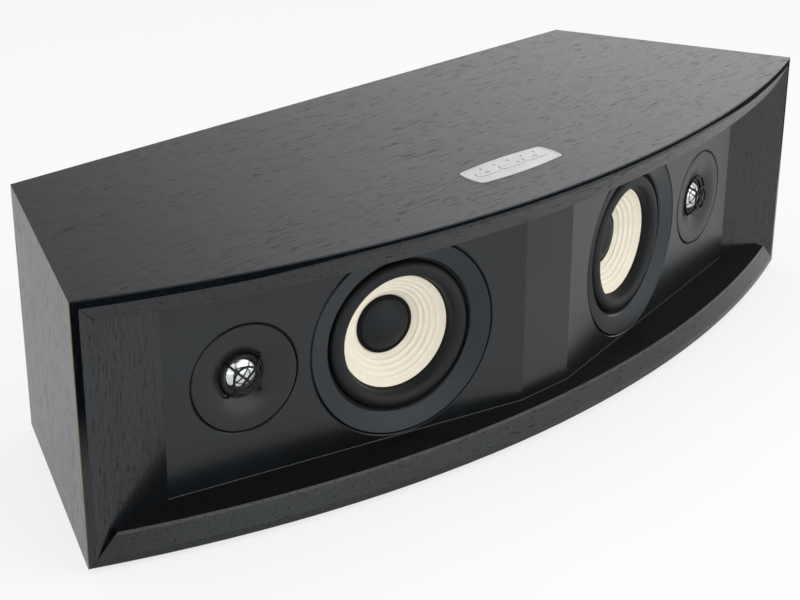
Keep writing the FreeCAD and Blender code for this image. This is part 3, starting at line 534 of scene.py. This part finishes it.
def workedMetal(name, look):
    look = metalShade | look
    f = newFinish(name)
    spot = f.spot()
    cell = [look["line"] * side for side in look["lay"]]
    lines = f.noise(f.stretched(spot, cell), *look["lines"])
    cloud = f.noise(spot, *look["cloud"])
    rough = look["rough"] + look["roughLines"] * (lines - 0.5) + look["roughCloud"] * (cloud - 0.5)
    body = f.surface(Base_Color=f.mottled(look, lines, cloud), Metallic=1.0, Roughness=rough,
                     Normal=f.bump(lines, look["depth"]))
    if "edge" in look:  # bare metal ends in a black glued edge
        glue = f.surface(Base_Color=f.tint(cloud, *look["glue"]),
                         Roughness=look["glueRough"] + look["glueCloud"] * cloud)
        body = f.mixed(f.between(fromAxis(f, spot, look["node"]), *look["edge"]), body, glue)
    return f.done(body)


# soft black caps and surrounds, each with a darker, duller rim: painted shade in the surround's groove
# by the trim ring, and on the cap partly its flat rim ring and partly painted shade of the gap round
# the dome
softShade = {"cloud": (70.0, 3.0), "share": 0.5, "ease": (0.35, 0.68), "detail": 3.0,
             "roughCloud": 0.10, "gloss": coolGloss, "rimAndShadeColours": (grey(0.002), grey(0.005)),
             "rimRough": 0.72, "rimLevel": 0.15}
softLooks = {
    # the cap's rim band is partly its flat rim ring and partly painted shade of the gap round the dome
    "capCoat": {"colour": grey(0.005, -0.14), "other": grey(0.009, -0.12), "rough": 0.52,
                "level": 0.32, "rim": (14.0 * mm, 14.5 * mm), "grain": 950.0, "depth": 0.012 * mm,
                "node": "woofer_dust_cap"},
    # the surround's rim band is painted shade in the groove by the trim ring
    "surroundRubber": {"colour": grey(0.005), "other": grey(0.0085, 0.05), "rough": 0.52,
                       "level": 0.33, "rim": (40.6 * mm, 41.6 * mm), "grain": 1500.0,
                       "depth": 0.010 * mm, "node": "woofer_surround"},
}


def softBlack(name, look):
    look = softShade | look
    f = newFinish(name)
    spot = f.spot()
    cloud = f.noise(spot, *look["cloud"])
    spark = f.noise(spot, look["grain"], look["detail"])
    normal = f.bump(spark, look["depth"])
    uneven = look["roughCloud"] * cloud
    face = f.surface(Base_Color=f.mottled(look, cloud, spark), Roughness=look["rough"] + uneven,
                     Normal=normal, Specular_Tint=look["gloss"], Specular_IOR_Level=look["level"])
    # the rim band: painted shade, on the cap partly its own flat rim ring
    rim = f.surface(Base_Color=f.tint(spark, *look["rimAndShadeColours"]), Normal=normal,
                    Roughness=look["rimRough"] + uneven, Specular_IOR_Level=look["rimLevel"])
    return f.done(f.mixed(f.between(fromAxis(f, spot, look["node"]), *look["rim"]), face, rim))


# papers and cloth
paperLook = {"colour": (0.93, 0.875, 0.735, 1), "other": (0.88, 0.81, 0.66, 1),
             "cloud": (120.0, 4.0, 0.6), "fibre": (1300.0, 4.0, 0.7), "share": 0.45,
             "ease": (0.40, 0.68), "rough": 0.70, "roughFibre": 0.15, "depth": 0.04 * mm}


def pulpPaper(name, look):
    f = newFinish(name)
    spot = f.spot()
    cloud = f.noise(spot, *look["cloud"])
    fibre = f.noise(spot, *look["fibre"])
    return f.done(f.surface(Base_Color=f.mottled(look, cloud, fibre),
                            Roughness=look["rough"] + look["roughFibre"] * (fibre - 0.5),
                            Normal=f.bump(fibre, look["depth"])))


clothLook = {"colour": (0.46, 0.30, 0.11, 1), "gap": (0.22, 0.13, 0.045, 1), "shade": (0.05, 0.6),
             "thread": 0.9 * mm, "depth": 0.15 * mm, "rough": 0.78, "roughThread": 0.1}


def wovenCloth(name, look):
    f = newFinish(name)
    x, _, z = f.split(f.stretched(f.spot(), [look["thread"] / (2 * math.pi)] * 3))
    over = abs(x.maths("SINE", x)) * abs(z.maths("SINE", z))
    colour = f.tint(f.between(over, *look["shade"]), look["gap"], look["colour"])
    return f.done(f.surface(Base_Color=colour, Roughness=look["rough"] + look["roughThread"] * over,
                            Normal=f.bump(over, look["depth"])))


# circuit boards: green mask over copper runs
boardLook = {"mask": (0.012, 0.085, 0.035, 1), "run": (0.030, 0.16, 0.065, 1),
             "pad": (0.55, 0.56, 0.55, 1), "grid": 0.52 * mm, "scatter": 0.35,
             "runEdge": (0.30, 0.36), "runChance": (0.25, 0.35), "padEdge": (0.16, 0.12),
             "padChance": (0.70, 0.75), "rough": 0.34, "roughRun": 0.15, "depth": 0.04 * mm}


def circuitBoard(name, look):
    f = newFinish(name)
    cells = f.cells(f.stretched(f.spot(), [look["grid"]] * 3), "MANHATTAN", look["scatter"])
    chance, _, _ = f.split(cells.also("Color"))
    runs = f.between(cells, *look["runEdge"]) * f.between(chance, *look["runChance"])
    pads = f.between(cells, *look["padEdge"]) * f.between(chance, *look["padChance"])
    colour = f.tint(pads, f.tint(runs, look["mask"], look["run"]), look["pad"])
    return f.done(f.surface(Base_Color=colour, Metallic=pads,
                            Roughness=look["rough"] + look["roughRun"] * runs,
                            Normal=f.bump(runs + pads, look["depth"])))


def dress(finish, *names):
    for name in names:
        for slot in nodes[name].material_slots:
            slot.material = finish


def both(*names):
    return [side + "_" + name for side in sides for name in names]


veneers = {name: blackVeneer(name, **cut) for name, cut in veneerCuts.items()}
dress(veneers["blackVeneerTop"], "top_panel")
dress(veneers["blackVeneerBase"], "bottom_panel")
dress(veneers["blackVeneerCheek"], *both("cheek"))
dress(veneers["blackVeneerSide"], *both("side_panel"))
dress(satinPaint("bafflePaint", paintLook), "front_baffle")
dress(grainedBoard("wrappedBack", backLook), "back_panel")

moulded = {name: mouldedPlastic(name, look) for name, look in mouldLooks.items()}
dress(moulded["trimBlack"], *both("woofer_trim_ring"))
dress(moulded["faceBlack"], *both("tweeter_faceplate"))
dress(moulded["portBlack"], *both("port_tube"))
dress(moulded["guardBlack"], *both("tweeter_guard"))
dress(moulded["ferrite"], *both("woofer_magnet"))
dress(moulded["lightPipe"], "light_pipes")
dress(moulded["rearBlack"], "rear_plate")
dress(moulded["socketBlack"], "rocker_bezel", "power_rocker", "network_socket", "pairing_button")
dress(moulded["footRubber"], "rubber_feet")
dress(mouldedPlastic("inletBlack", mouldLooks["socketBlack"], inletPins), "mains_inlet")
dress(mouldedPlastic("jackBlack", mouldLooks["socketBlack"], jackNut), "jack_socket")

metals = {name: workedMetal(name, look) for name, look in metalLooks.items()}
dress(metals["domeMetal"], *both("tweeter_dome"))
dress(metals["controlSilver"], "control_plate", "power_key", "volume_key", "source_key")
dress(metals["driverSteel"], *both("woofer_basket", "tweeter_motor"))
dress(metals["motorSteel"], *both("woofer_top_plate", "woofer_yoke"))
dress(metals["socketMetal"], "phono_sockets")
dress(metals["sinkMetal"], "heatsink")
dress(metals["screwBlack"], "rear_screws")
dress(metals["coilCopper"], *both("woofer_voice_coil"))

soft = {name: softBlack(name, look) for name, look in softLooks.items()}
dress(soft["capCoat"], *both("woofer_dust_cap"))
dress(soft["surroundRubber"], *both("woofer_surround"))
dress(pulpPaper("conePaper", paperLook), *both("woofer_cone"))
spiderCloth = wovenCloth("spiderCloth", clothLook)
dress(spiderCloth, *both("woofer_spider"))
dress(circuitBoard("circuitBoard", boardLook), "control_board", "main_board", "power_board")
print("finishes set")


def addPiece(name, points, faces, finish, smooth=False):
    mesh = bpy.data.meshes.new(name)
    mesh.from_pydata(points, [], faces)
    mesh.validate()
    if smooth:
        mesh.shade_smooth()
    mesh.materials.append(finish)
    piece = bpy.data.objects.new(name, mesh)
    bpy.context.collection.objects.link(piece)
    return piece


def at(place, across, up, out=0.0):  # a point from distances along a place's axes
    return place["centre"] + place["across"] * across + place["up"] * up + place["out"] * out


def around(place, radius, angle, depth):  # a point from an angle about a place's axis
    return at(place, radius * math.cos(angle), radius * math.sin(angle), -depth)


def fullTurn(count):
    return [2 * math.pi * turn / count for turn in range(count)]


def turned(name, place, profile, turns, finish):  # a closed profile of radius and depth, turned
    points = [around(place, radius, angle, depth)
              for radius, depth in profile for angle in fullTurn(turns)]
    faces = []
    for ring in range(len(profile)):
        beyond = (ring + 1) % len(profile)
        for turn in range(turns):
            following = (turn + 1) % turns
            faces.append((ring * turns + turn, ring * turns + following, beyond * turns + following,
                          beyond * turns + turn))
    return addPiece(name, points, faces, finish, smooth=True)


# half-roll surrounds, each in two halves: the outer half stays with the cabinet, the inner half is a
# piece of its own
rollLook = {"centre": 37.4 * mm, "depth": 6.2 * mm, "radius": 4.4 * mm, "thick": 0.8 * mm,
            "flange": 49.5 * mm, "seat": 4.2 * mm, "bore": 43.4 * mm,
            "groove": (42.6 * mm, 6.7 * mm), "root": (32.4 * mm, 9.4 * mm), "foot": 10.6 * mm,
            "follows": 8.0 * mm, "turns": 144, "steps": 24}


def rollArc(look, radius, start, end):  # angles in degrees, 90 at the crest and 0 outwards
    curve = []
    for step in range(look["steps"] + 1):
        angle = math.radians(start + (end - start) * step / look["steps"])
        curve.append((look["centre"] + radius * math.cos(angle),
                      look["depth"] - radius * math.sin(angle)))
    return curve


def addSurrounds(look):
    inner = look["radius"] - look["thick"]
    valley, low = look["groove"]
    root, rootDepth = look["root"]
    outerHalf = [(look["flange"], look["seat"] + look["thick"]), (look["flange"], look["seat"]),
                 (look["bore"], look["seat"]), (valley, low)]
    outerHalf += rollArc(look, look["radius"], 0, 90) + rollArc(look, inner, 90, 0)
    outerHalf += [(valley, low + look["thick"]),
                  (look["bore"] + look["thick"], look["seat"] + look["thick"])]
    innerHalf = rollArc(look, look["radius"], 90, 180) + [(root, rootDepth), (root, look["foot"])]
    innerHalf += [(root + look["thick"], look["foot"]), (root + look["thick"], rootDepth)]
    innerHalf += rollArc(look, inner, 180, 90)
    rubber = soft["surroundRubber"]
    for side in sides:
        place = driverPlace(side, "woofer_trim_ring", nodeHalf(side + "_woofer_trim_ring"))
        outer = turned(side + "RollOuter", place, outerHalf, look["turns"], rubber)
        follower = turned(side + "RollInner", place, innerHalf, look["turns"], rubber)
        for piece in (outer, follower):
            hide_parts(side + "_woofer_surround")
        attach(outer, "cabinet")
        at(place, 0, 0, look["radius"] - look["depth"])
        at(place, 0, 0, -look["follows"])
        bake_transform(follower)


addSurrounds(rollLook)
print("surrounds set")

# corrugated spiders behind the cones, in half waves: the innermost half wave rides with the cone
spiderLook = {"rim": 32.9 * mm, "ledge": 30.0 * mm, "collar": 12.95 * mm, "depth": 26.6 * mm,
              "thick": 0.6 * mm, "rise": 0.8 * mm, "halves": 6, "reach": 100 * mm, "steps": 8,
              "turns": 96}


def halfWave(look, half):  # profile between two crossings, counted from the ledge inwards
    front = []
    for step in range(look["steps"] + 1):
        share = (half + step / look["steps"]) / look["halves"]
        radius = look["ledge"] + (look["collar"] - look["ledge"]) * share
        wave = math.sin(math.pi * look["halves"] * share)
        front.append((radius, look["depth"] - look["rise"] * wave))
    return front + [(radius, depth + look["thick"]) for radius, depth in reversed(front)]


def addSpiders(look):
    back = look["depth"] + look["thick"]
    ledge = [(look["rim"], look["depth"]), (look["ledge"], look["depth"]), (look["ledge"], back),
             (look["rim"], back)]
    for side in sides:
        place = driverPlace(side, "woofer_trim_ring", nodeHalf(side + "_woofer_trim_ring"))
        rim = turned(side + "SpiderRim", place, ledge, look["turns"], spiderCloth)
        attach(rim, "cabinet")
        pieces = [rim]
        for half in range(look["halves"]):
            wave = turned(side + "SpiderWave" + str(half + 1), place, halfWave(look, half),
                          look["turns"], spiderCloth)
            follow = (half + 1) / look["halves"]
            if follow < 1:
                eased = 0.5 - math.sin(math.asin(1 - 2 * follow) / 3)  # a smooth step, inverted
                start = at(place, 0, 0, look["reach"] * eased - look["depth"])
                start - place["out"] * look["reach"]
                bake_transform(wave)
            else:
                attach(wave, side + "_cone")
            pieces.append(wave)
        for piece in pieces:
            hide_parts(side + "_woofer_spider")


addSpiders(spiderLook)
print("spiders set")

# gaskets in the gaps round the driver plates: a groove beside each plate and a lip beyond it
gasketLook = {"drivers": ("woofer_trim_ring", "tweeter_faceplate"), "gap": 0.9 * mm,
              "play": 0.03 * mm, "depth": 1.6 * mm, "lip": 0.24 * mm, "lipDepth": 0.20 * mm,
              "back": 1.8 * mm, "turns": 160}


def addGaskets(look):
    for side in sides:
        for driver in look["drivers"]:
            node = side + "_" + driver
            low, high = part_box(node)
            inside = (high[2] - low[2]) / 2 + look["play"]
            outside = inside + look["gap"] - 2 * look["play"]
            step = outside - look["lip"]
            profile = [(inside, look["back"]), (inside, look["depth"]), (step, look["depth"]),
                       (step, look["lipDepth"] + look["play"]), (step + look["play"], look["lipDepth"]),
                       (outside, look["lipDepth"]), (outside, look["back"])]
            name = side + "Gasket" + driver.split("_")[0].title()
            gasket = turned(name, driverPlace(side, driver, nodeHalf(node)), profile, look["turns"],
                            moulded["faceBlack"])
            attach(gasket, "cabinet")


addGaskets(gasketLook)
print("gaskets set")

# tweeter guards bent from round wire
guardLook = {"wire": 0.64 * mm, "ring": (7.1 * mm, -2.05 * mm), "collar": (11.2 * mm, 3.05 * mm),
             "arm": [(13.6 * mm, 2.2 * mm), (10.4 * mm, 0.1 * mm), (7.7 * mm, -1.75 * mm),
                     (6.7 * mm, -2.05 * mm)],
             "lean": (45, 135), "turns": 72, "sides": 12}


def bentWire(path, front, closed, look):  # points and faces of a round bar along a path
    count = look["sides"]
    last = len(path) - 1
    points = []
    faces = []
    for index, spot in enumerate(path):
        before = path[index - 1] if index or closed else path[0]
        after = path[(index + 1) % len(path)] if index < last or closed else path[last]
        beside = (after - before).cross(front).normalized()
        above = beside.cross(after - before).normalized()
        points += [spot + look["wire"] * (math.cos(angle) * beside + math.sin(angle) * above)
                   for angle in fullTurn(count)]
    for index in range(len(path) if closed else last):
        here = index * count
        there = (index + 1) % len(path) * count
        faces += [(here + step, here + (step + 1) % count, there + (step + 1) % count, there + step)
                  for step in range(count)]
    if not closed:
        faces += [list(range(count))[::-1], [last * count + step for step in range(count)]]
    return points, faces


def merged(parts):
    points = []
    faces = []
    for somePoints, someFaces in parts:
        first = len(points)
        points += somePoints
        faces += [[first + index for index in face] for face in someFaces]
    return points, faces


def addGuards(look):
    wholeArm = look["arm"] + [(-reach, depth) for reach, depth in reversed(look["arm"])]
    for side in sides:
        place = driverPlace(side, "tweeter_faceplate", nodeHalf(side + "_tweeter_faceplate"))
        parts = []
        for radius, depth in (look["ring"], look["collar"]):
            ring = [around(place, radius, angle, depth) for angle in fullTurn(look["turns"])]
            parts.append(bentWire(ring, place["out"], True, look))
        for lean in look["lean"]:
            path = [around(place, reach, math.radians(lean), depth) for reach, depth in wholeArm]
            parts.append(bentWire(path, place["out"], False, look))
        points, faces = merged(parts)
        guard = addPiece(side + "GuardWire", points, faces, moulded["guardBlack"], smooth=True)
        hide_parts(side + "_tweeter_guard")
        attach(guard, "cabinet")


addGuards(guardLook)
print("guards set")

# small printed marks, given in millimetres on a flat place
inkLook = {"thick": 0.03, "sunk": 0.02}


def bar(x, y, length, height):
    return [(x - length / 2, y - height / 2), (x + length / 2, y - height / 2),
            (x + length / 2, y + height / 2), (x - length / 2, y + height / 2)]


def arc(x, y, radius, width, start=0, sweep=358, steps=28):
    rim = [math.radians(start + sweep * step / steps) for step in range(steps + 1)]
    outside = [(x + radius * math.cos(angle), y + radius * math.sin(angle)) for angle in rim]
    bore = radius - width
    inside = [(x + bore * math.cos(angle), y + bore * math.sin(angle)) for angle in rim]
    return outside + inside[::-1]


def wedge(x, y, size):
    back, half = x - 0.5 * size, 0.55 * size
    return [(back, y - half), (x + 0.5 * size, y), (back, y + half)]


def printed(name, place, outlines, finish, body):
    points = []
    faces = []
    for outline in outlines:
        first = len(points)
        count = len(outline)
        for out in (-inkLook["sunk"], inkLook["thick"]):
            points += [at(place, x * mm, y * mm, out * mm) for x, y in outline]
        loop = [(first + index, first + (index + 1) % count) for index in range(count)]
        faces += [(a, b, b + count, a + count) for a, b in loop]
        faces.append([first + count - 1 - index for index in range(count)])
        faces.append([first + count + index for index in range(count)])
    piece = addPiece(name, points, faces, finish)
    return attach(piece, body)


def topPlace(node, x=0.0, y=0.0, sink=0.0):
    centre = Vector(middle(node))
    centre[2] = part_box(node)[1][2] - sink * mm
    return {"centre": centre + Vector((x * mm, y * mm, 0)), "across": Vector((1, 0, 0)),
            "up": Vector((0, 1, 0)), "out": Vector((0, 0, 1))}


def rearPlace(node, x=0.0, y=0.0, face=None):  # seen from behind
    centre = Vector(middle(node))
    centre[1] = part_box(face or node)[1][1]
    return {"centre": centre + Vector((-x * mm, 0, y * mm)), "across": Vector((-1, 0, 0)),
            "up": Vector((0, 0, 1)), "out": Vector((0, 1, 0))}


keyMarks = {
    "power_key": [arc(0, 0, 1.15, 0.28, 125, 290), bar(0, 0.85, 0.28, 1.1)],
    "volume_key": [bar(-5.4, 0, 2.0, 0.32), bar(5.4, 0, 2.0, 0.32), bar(5.4, 0.58, 0.32, 0.84),
                   bar(5.4, -0.58, 0.32, 0.84)],
    "source_key": [bar(-1.1, 0, 1.6, 0.30), wedge(0.2, 0, 1.1), arc(0, 0, 1.7, 0.28, -70, 140)],
}
for key, outlines in keyMarks.items():
    printed(key + "Mark", topPlace(key), outlines, moulded["markInk"], key)

lampMarks = {"pitch": 10.6, "offset": 5.8, "beside": 2.9, "sink": 0.15, "shapes": [
    [arc(0, 0, 0.8, 0.25), arc(0, 0, 0.3, 0.28)],
    [bar(0, -0.65, 1.7, 0.25), bar(0, 0.65, 1.7, 0.25), bar(-0.72, 0, 0.25, 1.05),
     bar(0.72, 0, 0.25, 1.05)],
    [arc(0, -0.7, 1.5, 0.25, 45, 90), arc(0, -0.7, 0.95, 0.25, 45, 90), arc(0, -0.7, 0.4, 0.3)],
    [bar(-0.6, -0.35, 0.3, 0.8), bar(0, -0.1, 0.3, 1.3), bar(0.6, 0.15, 0.3, 1.8)],
    [wedge(0, 0, 1.4)],
]}
for index, shape in enumerate(lampMarks["shapes"]):
    x = (index - (len(lampMarks["shapes"]) - 1) / 2) * lampMarks["pitch"] + lampMarks["beside"]
    place = topPlace("control_plate", x, lampMarks["offset"], lampMarks["sink"])
    printed("lampMark" + str(index + 1), place, shape, moulded["markInk"], "cabinet")
print("key marks set")

rearMarks = {
    "mains_inletMark": {"node": "mains_inlet", "above": 12.5, "shapes": [
        bar(-1.2, 0, 1.4, 0.35), arc(0.3, 0, 0.9, 0.35, -90, 180), bar(1.7, 0.4, 1.2, 0.35),
        bar(1.7, -0.4, 1.2, 0.35)]},
    "rocker_bezelMark": {"node": "rocker_bezel", "above": 10.5, "shapes": [bar(0, 0, 0.45, 2.4)]},
    "network_socketMark": {"node": "network_socket", "above": 12.5, "shapes": [
        bar(0, 0, 3.6, 0.35), bar(-1.5, -0.8, 0.35, 1.2), bar(0, 0.8, 0.35, 1.2),
        bar(1.5, -0.8, 0.35, 1.2)]},
    "jack_socketMark": {"node": "jack_socket", "above": 8.0, "shapes": [
        bar(-0.7, 0, 2.0, 0.35), wedge(0.9, 0, 1.5)]},
    "pairing_buttonMark": {"node": "pairing_button", "above": 6.5, "shapes": [
        arc(0, 0, 1.4, 0.3), wedge(0.1, 0, 0.9)]},
    "rockerOffMark": {"node": "rocker_bezel", "above": -10.5, "shapes": [arc(0, 0, 1.2, 0.4)]},
}
for name, mark in rearMarks.items():
    printed(name, rearPlace(mark["node"], 0, mark["above"], "rear_plate"), mark["shapes"],
            moulded["paleInk"], "cabinet")
print("rear marks set")

# round-headed screws with a cross recess, in millimetres
screwLook = {"across": 72.0, "up": 30.0, "radius": 2.8, "height": 1.6, "flat": 1.9, "round": 0.9,
             "steps": 6, "turns": 32, "sunk": 0.05, "arm": 1.35, "half": 0.36, "recess": 0.9}


def screwHead(look):  # points and faces, with the plate at height 0
    turns = look["turns"]
    arm, half = look["arm"], look["half"]
    rings = [(look["radius"], -look["sunk"]), (look["radius"], look["height"] - look["round"])]
    for step in range(1, look["steps"] + 1):
        angle = math.pi / 2 * step / look["steps"]
        rings.append((look["radius"] - (look["radius"] - look["flat"]) * (1 - math.cos(angle)),
                      look["height"] - look["round"] * (1 - math.sin(angle))))
    points = [(radius * math.cos(angle), radius * math.sin(angle), height)
              for radius, height in rings for angle in fullTurn(turns)]
    faces = []
    for ring in range(len(rings) - 1):
        for turn in range(turns):
            here, following = ring * turns + turn, ring * turns + (turn + 1) % turns
            faces.append((here, following, following + turns, here + turns))
    quarter = [(arm, 0), (arm, half), (half, half), (half, arm)]
    cross = []
    for _ in range(4):
        cross += quarter
        quarter = [(-y, x) for x, y in quarter]
    first = len(points)
    count = len(cross)
    points += [(x, y, height) for height in (look["height"], look["height"] - look["recess"])
               for x, y in cross]
    crown = (len(rings) - 1) * turns
    span = turns // 4
    for corner in range(4):  # the crown's face in four parts, each from the rim to the cross
        outside = [crown + (corner * span + turn) % turns for turn in range(span + 1)]
        inside = [first + (corner * 4 + step) % count for step in range(5)]
        faces.append(outside + inside[::-1])
    loop = [(first + step, first + (step + 1) % count) for step in range(count)]
    faces += [(b, a, a + count, b + count) for a, b in loop]
    faces.append([first + count + step for step in range(count)])
    faces.append(list(range(turns))[::-1])
    return points, faces


def addScrews(look):
    place = rearPlace("rear_plate")
    headPoints, headFaces = screwHead(look)
    heads = []
    for across in (-look["across"], 0, look["across"]):
        for up in (-look["up"], look["up"]):
            spots = [at(place, (across + x) * mm, (up + y) * mm, z * mm) for x, y, z in headPoints]
            heads.append((spots, headFaces))
    points, faces = merged(heads)
    heads = addPiece("rearScrewHeads", points, faces, metals["screwBlack"])
    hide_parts("rear_screws")
    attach(heads, "cabinet")


addScrews(screwLook)
print("screws set")

# coloured insulators round the phono pins
insertLook = {"bore": 1.75 * mm, "rim": 3.2 * mm, "proud": 0.35 * mm, "shoulder": 0.21 * mm,
              "edge": 0.2 * mm, "sunk": 0.1 * mm, "turns": 64,
              "above": {"whiteInsert": 9.0, "redInsert": -9.0}}


def addInserts(look):
    bore, rim, edge = look["bore"], look["rim"], look["edge"]
    profile = [(bore, look["sunk"]), (bore, -look["shoulder"]), (bore + edge, -look["proud"]),
               (rim - edge, -look["proud"]), (rim, -look["shoulder"]), (rim, look["sunk"])]
    for name, above in look["above"].items():
        place = rearPlace("phono_sockets", 0, above)
        insert = turned(name, place, profile, look["turns"], moulded[name])
        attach(insert, "cabinet")


addInserts(insertLook)

# sprung contacts in the network jack, in millimetres up and out along each run
contactLook = {"count": 8, "pitch": 1.02, "width": 0.42, "thick": 0.3,
               "run": [(4.5, -6.5), (4.5, -3.5), (3.9, -3.1), (1.0, -11.5)]}


def addContacts(look):
    place = rearPlace("network_socket")
    run = look["run"]
    half = look["width"] / 2
    section = [(-half, 0), (half, 0), (half, look["thick"]), (-half, look["thick"])]
    points = []
    faces = []
    for index in range(look["count"]):
        x = (index - (look["count"] - 1) / 2) * look["pitch"]
        first = len(points)
        points += [at(place, (x + aside) * mm, (up + lift) * mm, out * mm)
                   for up, out in run for aside, lift in section]
        for step in range(len(run) - 1):
            for corner in range(4):
                near = first + 4 * step + corner
                beside = first + 4 * step + (corner + 1) % 4
                faces.append((near, beside, beside + 4, near + 4))
        faces.append((first + 3, first + 2, first + 1, first))
        last = first + 4 * (len(run) - 1)
        faces.append((last, last + 1, last + 2, last + 3))
    contacts = addPiece("networkContacts", points, faces, metals["contactGold"])
    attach(contacts, "cabinet")


addContacts(contactLook)
print("rear details set")
